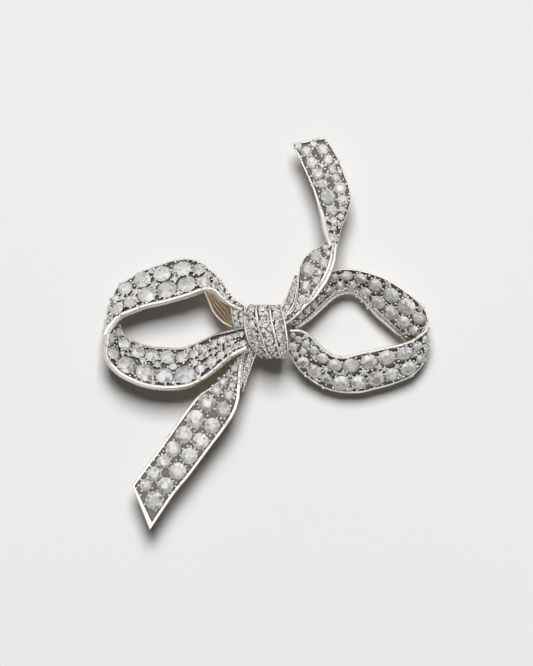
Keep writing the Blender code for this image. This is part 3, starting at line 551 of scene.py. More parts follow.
def gap_stones(places, normals, acrosses, to_edge, stones, least, most):
    """Small stones in the gaps that larger ones leave, the widest gap first."""
    room = to_edge.copy()
    for stone in stones:
        room = np.minimum(room, lengths(places - stone.centre) - stone.radius - STONE_SPACE)
    found = []
    while room.max() > least:
        i = int(room.argmax())
        stone = Stone(places[i], normals[i], acrosses[i], min(most, room[i]))
        found.append(stone)
        room = np.minimum(room, lengths(places - stone.centre) - stone.radius - STONE_SPACE)
    return found


def keep_apart(stones):
    """Shrinks any two stones that would touch."""
    for i, first in enumerate(stones):
        for second in stones[i + 1:]:
            apart = lengths(first.centre - second.centre)
            overlap = first.radius + second.radius + STONE_SPACE / 2 - apart
            if overlap > 0:
                first.radius -= overlap / 2
                second.radius -= overlap / 2


def grow(stones, ribbon, rims):
    """Widens each stone until it nearly meets a neighbour or the part of a rim that is kept free."""
    marks = np.linspace(0, ribbon.last, MARKS)
    edge, across, _, width = ribbon.frames(marks)
    far_edge = edge + across * width[:, None]
    for stone in stones:
        room = [
            lengths(other.centre - stone.centre) - other.radius - STONE_SPACE
            for other in stones if other is not stone
        ]
        for line, rim in zip((edge, far_edge), rims):
            away = lengths(line - stone.centre) - spread(rim, marks / ribbon.last) * RIM_KEPT
            room.append(away.min())
        stone.radius = max(stone.radius, min(room + [stone.radius * MOST_GROWTH]))


def ribbon_stones(ribbon, rows, rims, gap_radii, rng):
    """The stones of each row of a ribbon, by the row's label. The first row also takes those in the gaps."""
    found = {}
    for label, shares, start, end, diameters in rows:
        def curve(t, shares=shares, start=start, end=end):
            t = np.atleast_1d(t)
            return ribbon.point(t, spread(shares, (t - start) / (end - start)))

        found[label] = row_of_stones(curve, lambda t: ribbon.frames(t)[2], start, end, diameters)
    every = [stone for row in found.values() for stone in row]
    keep_apart(every)
    grow(every, ribbon, rims)
    t = random_values(0.25, ribbon.last - 0.25, rng)
    shares = random_values(0.05, 0.95, rng)
    _, across, normal, width = ribbon.frames(t)
    first_rim, second_rim = (spread(rim, t / ribbon.last) * RIM_KEPT for rim in rims)
    to_edge = np.minimum(shares * width - first_rim, (1 - shares) * width - second_rim)
    found[rows[0][0]] += gap_stones(ribbon.point(t, shares), normal, across, to_edge, every, *gap_radii)
    return found


def plate_heights(u, width, rims, bed, deep, base, stones, to_end):
    """Height of the set face over its flat, and its darkening: rounded rims, a lower bed darkened by
    oxidation and painted shade, bright seats.
    """
    far = width[:, None] - u
    first_rim, second_rim = rims[0][:, None], rims[1][:, None]
    top = -rounding(u, EDGE_ROUND) - rounding(far, EDGE_ROUND)
    first_step, second_step = first_rim * RIM_STEP_START, second_rim * RIM_STEP_START
    inner = smoothstep((u - first_step) / RIM_STEP) * smoothstep((far - second_step) / RIM_STEP)
    if to_end is not None:
        distance, end_rim = to_end
        top = np.maximum(top - rounding(distance[:, None], EDGE_ROUND), -EDGE_ROUND)
        inner = inner * smoothstep((distance[:, None] - end_rim) / RIM_STEP)
    groove = np.exp(-(((far - second_rim * 0.5) / GROOVE_WIDTH) ** 2)) * (second_rim > GROOVED_RIM)
    height = top - inner * bed[:, None] - GROOVE_DEPTH * groove
    # The bed and the groove of a wide rim are painted darker: oxidation and painted shade.
    tarnish_and_shade = np.maximum(inner, 0.8 * groove)
    for stone in stones:
        height, tarnish_and_shade = stone.cut_seat(base, 0.0, 1.5, height, tarnish_and_shade)
    return np.maximum(height, LEAST_FLOOR - deep[:, None]), tarnish_and_shade


def ribbon_plate(name, ribbon, thickness, bed_depth, rims, stones, look):
    """Silver plate with rounded rims, a bed darkened by oxidation and painted shade, and stone seats, as one
    closed fine mesh.
    """
    t, travelled = ribbon.even_steps(CELL)
    frames = ribbon.frames(t)
    width = frames[3]
    share = ribbon.thickness_share(t)
    deep = thickness * share
    first_rim, second_rim = (np.minimum(spread(rim, t / ribbon.last), width * MOST_RIM) for rim in rims)
    to_end = None
    if name in CUT_ENDS:
        to_end = (travelled if CUT_ENDS[name] == 0 else travelled[-1] - travelled), END_RIM_WIDTHS[name]
    middle = np.linspace(0, 1, int(width.max() / CELL))[1:-1]
    between = first_rim[:, None] + (width - first_rim - second_rim)[:, None] * middle
    far = width[:, None]
    u = np.hstack([first_rim[:, None] * RIM_SHARES, between, far - second_rim[:, None] * RIM_SHARES[::-1]])
    base = over_face(frames, u, np.zeros_like(u))
    bed = np.minimum(bed_depth, deep * 0.5)
    height, tarnish_and_shade = plate_heights(u, width, (first_rim, second_rim), bed, deep, base, stones, to_end)

    undercut = UNDERCUTS.get(name, 0.0) * share[:, None]
    back_u = np.hstack([far, far - PLATE_CHAMFER, far * 0.5, undercut + PLATE_CHAMFER, undercut])
    back_height = np.stack([PLATE_CHAMFER - deep, -deep, -deep, -deep, PLATE_CHAMFER - deep], axis=1)
    all_tarnish_and_shade = np.hstack([tarnish_and_shade, np.zeros_like(back_u)])
    return strip_object(
        name, frames, np.hstack([u, back_u]), np.hstack([height, back_height]), all_tarnish_and_shade, look
    )


def ribbon_backing(name, ribbon, stones, look):
    """Gold sheet behind a silver plate, with a small tapered dip behind each stone, painted dark with shade
    in place of an opening.
    """
    t, _ = ribbon.even_steps(BACKING_CELL)
    frames = ribbon.frames(t)
    width = frames[3]
    share = ribbon.thickness_share(t)[:, None]
    top = -SILVER * share - SOLDER_GAP
    first_inset = BACKING_INSET + UNDERCUTS.get(name, 0.0)
    inner = (width - BACKING_INSET - first_inset)[:, None]
    from_side = inner * np.linspace(0, 1, int(width.max() / BACKING_CELL))
    u = first_inset + from_side
    base = over_face(frames, u, np.zeros_like(u))
    height = top - GOLD * share + rounding(np.minimum(from_side, inner - from_side), BACK_ROUND)
    hollow = np.zeros_like(height)
    for stone in stones:
        slope = (stone.radius * OPENING_SHARE - stone.distance(base)) * OPENING_SLOPE
        near = lengths(base - stone.centre) < stone.radius * 1.6 + 1.4
        hollow = np.maximum(hollow, np.clip(slope, 0.0, OPENING_DEPTH) * near)
    height = np.minimum(height + hollow, top - 0.05)
    all_u = np.hstack([u, first_inset + inner, inner * 0 + first_inset])
    all_height = np.hstack([height, top, top])
    # painted shade: each dip darker the deeper it goes
    tarnish_and_shade = np.hstack([hollow / OPENING_DEPTH, top * 0, top * 0])
    return strip_object(name + "_gold", frames, all_u, all_height, tarnish_and_shade, look)


# ---- stones and grains ----


def ring(count, reach, height, shift=0.0):
    """Points round a circle, turned by a share of their spacing."""
    angles = [2 * math.pi * (k + shift) / count for k in range(count)]
    return [(reach * math.cos(angle), reach * math.sin(angle), height) for angle in angles]


def cut_stone(radius, deepest, rng):
    """Points and faces of an old-cut stone about its axis, with a girdle of radius 1 at height 0."""
    table = rng.uniform(0.42, 0.55)
    star = rng.uniform(0.7, 0.78)
    crown = (1 - table) * CROWN_SLOPE * rng.uniform(0.85, 1.1)
    culet = rng.uniform(0.07, 0.12)
    slope = min(PAVILION_SLOPE * rng.uniform(0.97, 1.05), deepest / radius / (1 - culet))
    deep = (1 - culet) * slope
    lower = rng.uniform(0.3, 0.42)
    half_turn = math.cos(math.radians(22.5))
    half = GIRDLE_HEIGHT / 2 / radius
    star_height = crown * (1 - (star * half_turn - table) / (1 - table))
    lower_depth = deep * (1 - (lower * half_turn - culet) / (1 - culet))
    points = ring(8, table, half + crown)
    points += ring(8, star, half + star_height, 0.5)
    points += ring(16, 1.0, half)
    points += ring(16, 1.0, -half)
    points += ring(8, lower, -half - lower_depth, 0.5)
    points += ring(8, culet, -half - deep)
    tab, mid, up, down, low, tip = 0, 8, 16, 32, 48, 56
    faces = [tuple(range(tab, tab + 8)), tuple(range(tip + 7, tip - 1, -1))]
    for k in range(8):
        after, before = (k + 1) % 8, (k - 1) % 8
        g0, g1, g2 = 2 * k, 2 * k + 1, (2 * k + 2) % 16
        faces += [(tab + k, mid + k, tab + after), (tab + k, mid + before, up + g0, mid + k)]
        faces += [(mid + k, up + g0, up + g1), (mid + k, up + g1, up + g2)]
        faces += [(up + g0, down + g0, down + g1, up + g1), (up + g1, down + g1, down + g2, up + g2)]
        faces += [(low + k, down + g1, down + g0), (low + k, down + g2, down + g1)]
        faces += [(tip + k, low + k, down + g0, low + before), (tip + k, tip + after, low + k)]
    return np.array(points), faces


def facet_reflection(rng):
    """Painted reflection of a facet: most are bright, and some are painted darker as if they reflected
    something dark.
    """
    if rng.random() < DARK_REFLECTION_SHARE:
        return rng.uniform(0.05, 0.6)
    return rng.uniform(0.8, 1.0)


def stone_row_object(name, stones, deepest_at, looks, rng):
    """A row of cut stones, each its own closed shell, each in one of the stone tints."""
    points, faces, tints, facet_reflections = [], [], [], []
    start = 0
    for stone in stones:
        shape, cut_faces = cut_stone(stone.radius, deepest_at(stone), rng)
        # a painted reflection value for each facet
        facet_reflections += [facet_reflection(rng) for _ in cut_faces]
        turn = rng.uniform(0, 2 * math.pi)
        squeeze = rng.uniform(0.94, 1.0)
        x = shape[:, 0] * math.cos(turn) - shape[:, 1] * math.sin(turn)
        y = (shape[:, 0] * math.sin(turn) + shape[:, 1] * math.cos(turn)) * squeeze
        lean = Vector((rng.uniform(-1, 1), rng.uniform(-1, 1), 0))
        normal = np.array((Vector(stone.normal) + STONE_TILT * lean).normalized())
        along = unit(stone.along - normal * (stone.along @ normal))
        side = np.cross(normal, along)
        centre = stone.centre + stone.normal * GIRDLE_LEVEL
        placed = centre + stone.radius * (x[:, None] * along + y[:, None] * side + shape[:, 2:3] * normal)
        points.append(placed)
        faces += [tuple(start + i for i in face) for face in cut_faces]
        tints += [rng.choices(range(len(looks)), weights=TINT_WEIGHTS)[0]] * len(cut_faces)
        start += len(placed)
    obj = add_object(name, np.vstack(points), faces, looks[0], smooth=False)
    for look in looks[1:]:
        obj.data.materials.append(look)
    obj.data.polygons.foreach_set("material_index", tints)
    # the facet value is a painted reflection, read by the stone material
    set_values(obj, "facet", "FACE", facet_reflections)
    return obj


def grain_places(stones, inside, rng):
    """Places for grains round the stones, closest gaps first, clear of stones and of other grains."""
    spots = []
    for stone in stones:
        side = np.cross(stone.normal, stone.along)
        offset = rng.uniform(0, 1)
        for k in range(GRAIN_SPOTS):
            angle = 2 * math.pi * (k + offset) / GRAIN_SPOTS
            direction = math.cos(angle) * stone.along + math.sin(angle) * side
            place = stone.centre + (stone.radius + GRAIN_OUT) * direction
            gaps = [
                other.distance(place) - other.radius for other in stones
                if other is not stone and lengths(other.centre - place) < other.radius * 1.5 + 1
            ]
            nearest = min(gaps, default=1.0)
            if nearest > 0.02 and inside(place):
                spots.append((nearest + rng.uniform(0, 0.15), place, stone.normal))
    spots.sort(key=lambda spot: spot[0])
    found = []
    for gap, place, normal in spots:
        spacing = GRAIN_SPACING * (1.0 if gap < 0.45 else WIDE_SPACING)
        if all(lengths(place - other) > spacing for other, _ in found):
            found.append((place, normal))
    return found


def grains_object(name, places, look, rng):
    """Small domed beads of silver, joined as one piece, each painted darker towards its foot with shade and
    oxidation.
    """
    ball = bmesh.new()
    bmesh.ops.create_icosphere(ball, subdivisions=2, radius=1.0)
    shape = np.array([vert.co for vert in ball.verts])
    ball_faces = [tuple(vert.index for vert in face.verts) for face in ball.faces]
    ball.free()
    points, faces = [], []
    for place, normal in places:
        local = shape * GRAIN_RADIUS * rng.uniform(0.75, 1.2)
        helper = np.array([1.0, 0, 0]) if abs(normal[0]) < 0.8 else np.array([0, 1.0, 0])
        along = unit(np.cross(normal, helper))
        side = np.cross(normal, along)
        tall = local[:, 2:3] * np.where(local[:, 2:3] < 0, GRAIN_ROOT, 1.0)
        start = len(points) * len(shape)
        faces += [tuple(start + i for i in face) for face in ball_faces]
        middle = place + normal * GRAIN_LEVEL
        points.append(middle + local[:, 0:1] * along + local[:, 1:2] * side + tall * normal)
    obj = add_object(name, np.vstack(points), faces, look)
    # painted shade and oxidation: each bead darker towards its foot
    set_values(obj, "tarnish_and_shade", "POINT", np.tile(smoothstep(0.55 - shape[:, 2] * 0.9), len(places)))
    return obj


# ---- knot ----


class Knot:
    """The folded shell: four lines run over it from top to bottom, with a set facet between each two."""

    def __init__(self):
        rows = np.array(KNOT_ROWS, float)
        self.last = len(rows) - 1
        self.lines = [np.stack([rows[:, 1 + k], rows[:, 0], rows[:, 5 + k]], axis=1) for k in range(4)]

    def facet(self, k, t):
        """Edge points, unit vectors across, normals and widths of a facet, in a Ribbon's terms."""
        t = np.atleast_1d(np.asarray(t, float))
        edge = spline(self.lines[k], t)
        reach = spline(self.lines[k + 1], t) - edge
        width = lengths(reach)
        across = reach / width[:, None]
        low, high = np.clip(t - 0.05, 0, self.last), np.clip(t + 0.05, 0, self.last)
        along = sum(spline(line, high) - spline(line, low) for line in self.lines[k:k + 2])
        normal = unit(np.cross(across, along))
        return edge, across, normal * np.sign(normal[:, 2:3]), width

    def place(self, k, t, share):
        edge, across, normal, width = self.facet(k, t)
        return edge + across * (width * share)[:, None] + normal * KNOT_RIM_HEIGHT


def knot_stones(knot, rng):
    """The stones of each facet, by its label: a row of larger ones, then smaller ones in the gaps."""
    found = {}
    for k, label in enumerate(KNOT_LABELS):
        share, start, end, diameters = KNOT_STONES[label]
        if len(diameters) == 1:
            t = (start + end) / 2
            _, across, normal, _ = knot.facet(k, t)
            found[label] = [Stone(knot.place(k, t, share)[0], normal[0], across[0], diameters[0] / 2)]
        else:
            found[label] = row_of_stones(
                lambda t: knot.place(k, t, share), lambda t: knot.facet(k, t)[2], start, end, diameters
            )
    for k, label in enumerate(KNOT_LABELS):
        t = random_values(0.15, knot.last - 0.15, rng)
        shares = random_values(0.05, 0.95, rng)
        _, across, normal, width = knot.facet(k, t)
        to_edge = np.minimum(shares, 1 - shares) * width - KNOT_RIM
        places = knot.place(k, t, shares)
        found[label] += gap_stones(places, normal, across, to_edge, found[label], *KNOT_GAP_RADII)
    return found


def knot_shell(knot, stones, look):
    """Outer face with a thin raised rim along each line, side walls, and the hollow inside."""
    t = np.linspace(0, knot.last, KNOT_STEPS)
    outer, bed_darkenings = [], []
    for k in range(3):
        frames = knot.facet(k, t)
        width = frames[3][:, None]
        u = width * np.linspace(0, 1, int(width.max() / KNOT_CELL))
        # The bed between the rims is painted darker, oxidation and painted shade; seats stay bright.
        bed_darkening = smoothstep((np.minimum(u, width - u) - KNOT_RIM / 2) / 0.1)
        rise = KNOT_RIM_HEIGHT * (1 - bed_darkening)
        base = over_face(frames, u, np.zeros_like(u))
        for stone in stones:
            rise, bed_darkening = stone.cut_seat(base, KNOT_RIM_HEIGHT, 1.7, rise, bed_darkening)
        points = over_face(frames, u, np.maximum(rise, 0.15 - KNOT_WALL))
        last = None if k == 2 else -1
        outer.append(points[:, :last])
        bed_darkenings.append(bed_darkening[:, :last])
    lines = [spline(line, t) for line in knot.lines]

    def foot(line, shift):
        return np.stack([line[:, 0] + shift, line[:, 1], np.full(len(t), KNOT_BASE)], axis=1)

    shifts = (KNOT_WALL, 0.0, 0.0, -KNOT_WALL)
    inside = [line + np.array([shift, 0, -KNOT_WALL]) for line, shift in zip(lines, shifts)]
    rest = [foot(lines[3], 0.0), foot(lines[3], -KNOT_WALL), *reversed(inside)]
    rest += [foot(lines[0], KNOT_WALL), foot(lines[0], 0.0)]
    points = np.concatenate([*outer, np.stack(rest, axis=1)], axis=1)
    tarnish_and_shade = np.hstack([*bed_darkenings, np.zeros((len(t), len(rest)))])
    obj = add_object("knot", points.reshape(-1, 3), loft_faces(*tarnish_and_shade.shape), look, sharp_angle=55)
    set_values(obj, "tarnish_and_shade", "POINT", tarnish_and_shade.reshape(-1))
    return obj


# ---- materials ----

TINT_WEIGHTS = (6, 3, 1, 1)
STONE_IOR = 2.42
# The share that is not clear is pale, a painted stand-in for the light the stones send back.
STONE_CLEARNESS = 0.55
# Colour of a painted dark reflection in a facet
DARK_REFLECTION_COLOR = (0.1, 0.095, 0.09, 1)
# Scale of the small painted reflection patches inside a facet
REFLECTION_PATCH_SCALE = 1900
BLOTCH_SCALE = 2600
BLOTCH_GAIN = 0.63
BLOTCH_SHIFT = -0.28
MARK_HEIGHT = 0.00005
# Bright and dark colour, bright and dark roughness, scale and strength of the marks
METALS = {
    "silver": (
        "polished_silver_with_oxidation_and_painted_shade", (0.72, 0.695, 0.655), (0.15, 0.132, 0.12), 0.26, 0.5, 2500, 0.12,
    ),
    "fittings": ("brushed_gold", (0.83, 0.66, 0.4), (0.4, 0.27, 0.14), 0.24, 0.45, 1800, 0.3),
    "gold": ("gold_with_tarnish_and_painted_shade", (0.74, 0.63, 0.48), (0.2, 0.145, 0.095), 0.26, 0.5, 2200, 0.4),
}
# Colour and roughness, the commonest first
STONE_TINTS = {
    "stone_white": ((1.0, 0.985, 0.97), 0.03),
    "stone_grey": ((0.86, 0.845, 0.83), 0.05),
    "stone_warm": ((0.99, 0.94, 0.87), 0.03),
    "stone_cream": ((0.95, 0.86, 0.74), 0.04),
}


def set_inputs(tree, node, inputs):
    """Gives each input its value, or links it to the socket that feeds it."""
    for key, value in inputs.items():
        if isinstance(value, bpy.types.NodeSocket):
            tree.links.new(value, node.inputs[key])
        else:
            node.inputs[key].default_value = value


def add_node(tree, kind, inputs, output, **settings):
    """A new node's output, after its settings and inputs."""
    node = tree.nodes.new("ShaderNode" + kind)
    for key, value in settings.items():
        setattr(node, key, value)
    set_inputs(tree, node, inputs)
    return node.outputs[output]


def new_material(name):
    made = bpy.data.materials.new(name)
    made.use_nodes = True
    return made, made.node_tree


def metal_with_tarnish_and_shade(name, bright, dark, bright_roughness, dark_roughness, mark_scale, mark_strength):
    """Metal bright where it is proud and dark in its hollows by the mesh's tarnish value, which holds real
    oxidation and painted shade together.
    """
    made, tree = new_material(name)
    place = add_node(tree, "TexCoord", {}, "Object")
    # This value carries real oxidation and painted shade in the hollows.
    tarnish_and_shade = add_node(tree, "Attribute", {}, "Fac", attribute_name="tarnish_and_shade")
    blotch = add_node(tree, "TexNoise", {"Scale": BLOTCH_SCALE, "Detail": 6, "Vector": place}, "Fac")
    weighted = add_node(
        tree, "Math", {0: blotch, 1: BLOTCH_GAIN, 2: BLOTCH_SHIFT}, "Value", operation="MULTIPLY_ADD"
    )
    total = add_node(tree, "Math", {0: tarnish_and_shade, 1: weighted}, "Value", operation="ADD", use_clamp=True)
    ends = {"A": (*bright, 1), "B": (*dark, 1)}
    color = add_node(tree, "Mix", {**ends, "Factor": total}, "Result", data_type="RGBA")
    limits = {"To Min": bright_roughness, "To Max": dark_roughness}
    roughness = add_node(tree, "MapRange", {**limits, "Value": total}, "Result")
    marks = add_node(tree, "TexNoise", {"Scale": mark_scale, "Detail": 8, "Vector": place}, "Fac")
    bump = {"Strength": mark_strength, "Distance": MARK_HEIGHT, "Height": marks}
    normal = add_node(tree, "Bump", bump, "Normal")
    surface = {"Metallic": 1.0, "Base Color": color, "Roughness": roughness, "Normal": normal}
    set_inputs(tree, tree.nodes["Principled BSDF"], surface)
    return made


def stone_material(name, color, roughness):
    """Old-cut stone: part clear, part pale as a painted stand-in for the light it sends back, with painted
    reflections: each facet lighter or darker by the mesh's facet value, in small patches.
    """
    made, tree = new_material(name)
    facet = add_node(tree, "Attribute", {}, "Fac", attribute_name="facet")
    place = add_node(tree, "TexCoord", {}, "Object")
    reflection_cells = add_node(tree, "TexVoronoi", {"Scale": REFLECTION_PATCH_SCALE, "Vector": place}, "Color")
    reflection_patch = add_node(tree, "SeparateColor", {"Color": reflection_cells}, "Red")
    reflection_patches = add_node(tree, "MapRange", {"From Max": 0.5, "To Min": 0.42, "Value": reflection_patch}, "Result")
    # painted reflection level: the facet's value times its patch's
    depth = add_node(tree, "Math", {0: facet, 1: reflection_patches}, "Value", operation="MULTIPLY")
    ends = {"A": DARK_REFLECTION_COLOR, "B": (*color, 1)}
    painted_reflection = add_node(tree, "Mix", {**ends, "Factor": depth}, "Result", data_type="RGBA")
    glassy = {"IOR": STONE_IOR, "Transmission Weight": STONE_CLEARNESS}
    surface = {"Roughness": roughness, **glassy, "Base Color": painted_reflection}
    set_inputs(tree, tree.nodes["Principled BSDF"], surface)
    return made


def make_looks():
    looks = {key: metal_with_tarnish_and_shade(*values) for key, values in METALS.items()}
    looks["stones"] = [stone_material(name, *values) for name, values in STONE_TINTS.items()]
    return looks


# ---- building ----


def finish_piece(obj, slot_name, *nodes, body="bow"):
    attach(obj, body)
    if nodes:
        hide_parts(*nodes)


def build_ribbons(looks, rng):
    for name, stations in {**RIBBONS, **FOLDS}.items():
        ribbon = Ribbon(stations, THICKNESS.get(name, (1.0,)))
        fold = name in FOLDS
        thickness = FOLD_THICKNESS if fold else SILVER
        rims = ([FOLD_RIM], [FOLD_RIM]) if fold else RIMS[name]
        rows = ribbon_stones(ribbon, ROWS[name], rims, GAP_RADII.get(name, OTHER_GAP_RADII), rng)
        stones = [stone for row in rows.values() for stone in row]
        bed = FOLD_BED if fold else BED
        plate = ribbon_plate(name, ribbon, thickness, bed, rims, stones, looks["silver"])
        finish_piece(plate, "silver", name + "_plate")
        if not fold:
            backing = ribbon_backing(name, ribbon, stones, looks["gold"])
            finish_piece(backing, "gold", name + "_backing")
        build_stones(name, ribbon, thickness, rows, looks, rng)


def build_lining(looks):
    """Gold back of the upper left arm where it turns down by the knot: ridged, with a bright edge, and
    painted darker inside it, most in the valleys between ridges: painted shade with tarnish.
    """
    ribbon = Ribbon(LINING)
    t, travelled = ribbon.even_steps(CELL)
    frames = ribbon.frames(t)
    width = frames[3][:, None]
    shares = np.linspace(0, 1, 28)
    u = width * shares
    waves = np.sin(shares * math.pi * LINING_RIDGES + np.sin(travelled[:, None] * 1.3))
    ridges = LINING_RIDGE * waves * smoothstep((u - 0.25) / 0.2)
    rim = LINING_RIM * (1 - smoothstep((u - 0.12) / 0.12))
    height = rim + ridges - rounding(u, BACK_ROUND)
    all_u = np.hstack([u, width, width * 0])
    all_height = np.hstack([height, np.full((len(t), 2), -GOLD)])
    # painted shade with tarnish: the inside of the turn darker, the valleys between ridges darker still
    lining_darkening = 0.5 + 0.4 * smoothstep((u - 0.2) / 0.3) - ridges * 5
    tarnish_and_shade = np.hstack([lining_darkening * smoothstep((u - 0.1) / 0.2), np.zeros((len(t), 2))])
    lining = strip_object("left_turn", frames, all_u, all_height, tarnish_and_shade, looks["gold"])
    finish_piece(lining, "gold", "left_turn_lining")


def build_stones(name, ribbon, thickness, rows, looks, rng):
    """The stones of a ribbon, a piece for each row, and the grains of silver that hold them."""
    marks = np.linspace(0, ribbon.last, MARKS)
    edge, across, normal, width = ribbon.frames(marks)
    middles = ribbon.point(marks, np.full(MARKS, 0.5))
    deep = thickness * ribbon.thickness_share(marks)

    def nearest(place):
        return int(np.argmin(lengths(middles - place)))

    def onto_face(place):
        i = nearest(place)
        return place - normal[i] * float((place - edge[i]) @ normal[i]), normal[i]

    def deepest_at(stone):
        return max(LEAST_DEPTH, deep[nearest(stone.centre)] - DEPTH_KEPT)

    def inside(place):
        i = nearest(place)
        u = float((place - edge[i]) @ across[i])
        margin = min(GRAIN_MARGIN, width[i] * 0.2)
        return margin < u < width[i] - margin and 2 < i < MARKS - 3

    for label, stones in rows.items():
        row = stone_row_object(f"{name}_{label}_row", stones, deepest_at, looks["stones"], rng)
        node = f"{name}_{label}_stones"
        finish_piece(row, "stones", *([node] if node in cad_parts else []))
    every = [stone for row in rows.values() for stone in row]
    places = [onto_face(place) for place, _ in grain_places(every, inside, rng)]
    area = travel(middles)[-1] * width.mean()
    for _ in range(int(area * FILLER_TRIES)):
        t = rng.uniform(0, ribbon.last)
        share = rng.uniform(0, 1)
        place = ribbon.point(t, share)[0]
        if (
            inside(place)
            and all(stone.distance(place) > stone.radius + FILLER_CLEARANCE for stone in every)
            and all(lengths(place - other) > FILLER_SPACING for other, _ in places)
        ):
            places.append((place, ribbon.frames(t)[2][0]))
    finish_piece(grains_object(name + "_grains", places, looks["silver"], rng), "silver")


def build_knot(looks, rng):
    knot = Knot()
    groups = knot_stones(knot, rng)
    every = [stone for group in groups.values() for stone in group]
    finish_piece(knot_shell(knot, every, looks["silver"]), "silver", "knot_shell")
    for label, stones in groups.items():
        row = stone_row_object(f"knot_{label}_row", stones, lambda stone: KNOT_WALL, looks["stones"], rng)
        finish_piece(row, "stones", f"knot_{label}_stones")
    low = KNOT_ROWS[-1][0] + 0.25
    high = KNOT_ROWS[0][0] - 0.25

    def inside(place):
        if not low < place[1] < high:
            return False
        xs = [float(np.interp(-place[1], -line[:, 1], line[:, 0])) for line in knot.lines]
        return min(abs(place[0] - x) for x in xs) > KNOT_MARGIN and xs[0] < place[0] < xs[3]

    places = grain_places(every, inside, rng)
    finish_piece(grains_object("knot_grains", places, looks["silver"], rng), "silver")


# ---- pin, hinge and catch: places are p along the pin, q across it and z up ----

PIN_TURN = math.radians(53)
PIN_Z = -2.0
HINGE_P = 12.5
CATCH_P = -22.0
TIP_P = -24.6
BAR_ENDS = (-24.2, 14.0)
BAR_TOP = 0.7
BAR_HALF_WIDTH = 0.75
BAR_ROUND = 0.22
BAR_END_ROUND = 0.7
BAR_STEPS = 260
DISC_RADIUS = 2.5
PAD_HALF_WIDTH = 1.35
PAD_HALF_LENGTH = 1.45
FITTING_TOP = -0.04  # just clear of the bar
EAR_BOTTOM = -3.2
EAR_INNER = 0.68
EAR_OUTER = 1.15
EAR_HALF_LENGTH = 1.0
WEB_BOTTOM = -0.7
EYE_RADIUS = 0.75
EYE_HALF_WIDTH = 0.62
EYE_CHAMFER = 0.1
EYE_BORE = 0.4
RIVET_RADIUS = 0.34
RIVET_HEAD = 0.6
RIVET_DOME = 0.22
PIN_RADIUS = 0.44
PIN_NECK = 0.072  # taken off the radius by the first sixth of the pin
PIN_TAPER = 0.06  # and by its whole length
POINT_LENGTH = 4.5
HOUSING_RADII = (0.86, 1.25)
HOUSING_HALF_LENGTH = 0.55
HOUSING_MOUTH = math.radians(36)
NECK_HALF_WIDTH = 0.7
NECK_TOP = -0.2
NECK_SUNK = 0.35  # how far the neck runs into the housing
FOOT_HALF_LENGTH = 1.3
FOOT_HALF_WIDTH = 1.25
FOOT_BOTTOM = -0.5
ROLLER_BORE = 0.45
ROLLER_RADIUS = 0.82
FLANGE_RADIUS = 1.15
FLANGE_ROUND = 0.08
FLANGE_GAP = 0.04
ROLLER_HALF_LENGTH = 1.05
ROLLER_SLOT = math.radians(26)
TAB_ROOT = -0.6
TAB_END = -2.4
TAB_HALF_LENGTH = 0.23
TAB_HALF_HEIGHT = 0.2
ROUND_STEPS = 40
P_AXIS, Q_AXIS, Z_AXIS = 0, 1, 2


def on_line(places):
    """Points in mm from places along the pin, across it and above the bar's back."""
    c, s = math.cos(PIN_TURN), math.sin(PIN_TURN)
    p, q, z = places.T
    return np.stack([p * c - q * s, p * s + q * c, z], axis=1)


class Shells:
    """Closed shells gathered into one object."""

    def __init__(self):
        self.points, self.faces, self.count = [], [], 0

    def loft(self, rings):
        rings = np.asarray(rings, float)
        self.points.append(on_line(rings.reshape(-1, 3)))
        self.faces += [tuple(self.count + i for i in face) for face in loft_faces(*rings.shape[:2])]
        self.count += rings.shape[0] * rings.shape[1]

    def add(self, name, look, node, body="bow"):
        obj = add_object(name, np.vstack(self.points), self.faces, look, sharp_angle=40)
        finish_piece(obj, "gold", node, body=body)


def turned(stations, axis, centre):
    """Rings round one of the three axes through a centre, from (place, radius) stations."""
    first, second = (k for k in range(3) if k != axis)
    angles = 2 * math.pi * np.arange(ROUND_STEPS) / ROUND_STEPS
    rings = np.empty((len(stations), ROUND_STEPS, 3))
    for around, (place, radius) in zip(rings, stations):
        around[:, axis] = place
        around[:, first] = centre[first] + radius * np.cos(angles)
        around[:, second] = centre[second] + radius * np.sin(angles)
    return rings


def swept(profile, gap):
    """A profile of (place from the catch, radius) swept round the pin, leaving a gap towards the back."""
    angles = np.linspace(gap, 2 * math.pi - gap, ROUND_STEPS * 2)
    return [[(CATCH_P + p, r * math.sin(a), PIN_Z - r * math.cos(a)) for p, r in profile] for a in angles]


def corner_arcs(low, high, radius):
    """Rounded rectangle between two corners, as (first, second) pairs."""
    near, far = (low[0] + radius, low[1] + radius), (high[0] - radius, high[1] - radius)
    found = []
    for quarter, (a, b) in enumerate(((far[0], far[1]), (near[0], far[1]), near, (far[0], near[1]))):
        for k in range(5):
            angle = math.pi / 2 * (quarter + k / 4)
            found.append((a + radius * math.cos(angle), b + radius * math.sin(angle)))
    return found


def soft_slab(outline, low, high, axis, radius=0.1):
    """Slab with soft edges from a convex outline, between two levels on the z axis or an ear's q axis."""
    outline = np.asarray(outline, float)
    away = outline - outline.mean(axis=0)
    reach = np.linalg.norm(away, axis=1, keepdims=True)
    rings = []
    for level, side, steps in ((low + radius, -1, range(4)), (high - radius, 1, reversed(range(4)))):
        for step in steps:
            angle = math.pi / 2 * step / 4
            shrunk = outline - away * (radius * (1 - math.sin(angle)) / reach)
            rings.append(np.insert(shrunk, axis, level + side * radius * math.cos(angle), axis=1))
    return rings


def rectangle(low_p, high_p, half_width):
    return [(low_p, -half_width), (high_p, -half_width), (high_p, half_width), (low_p, half_width)]


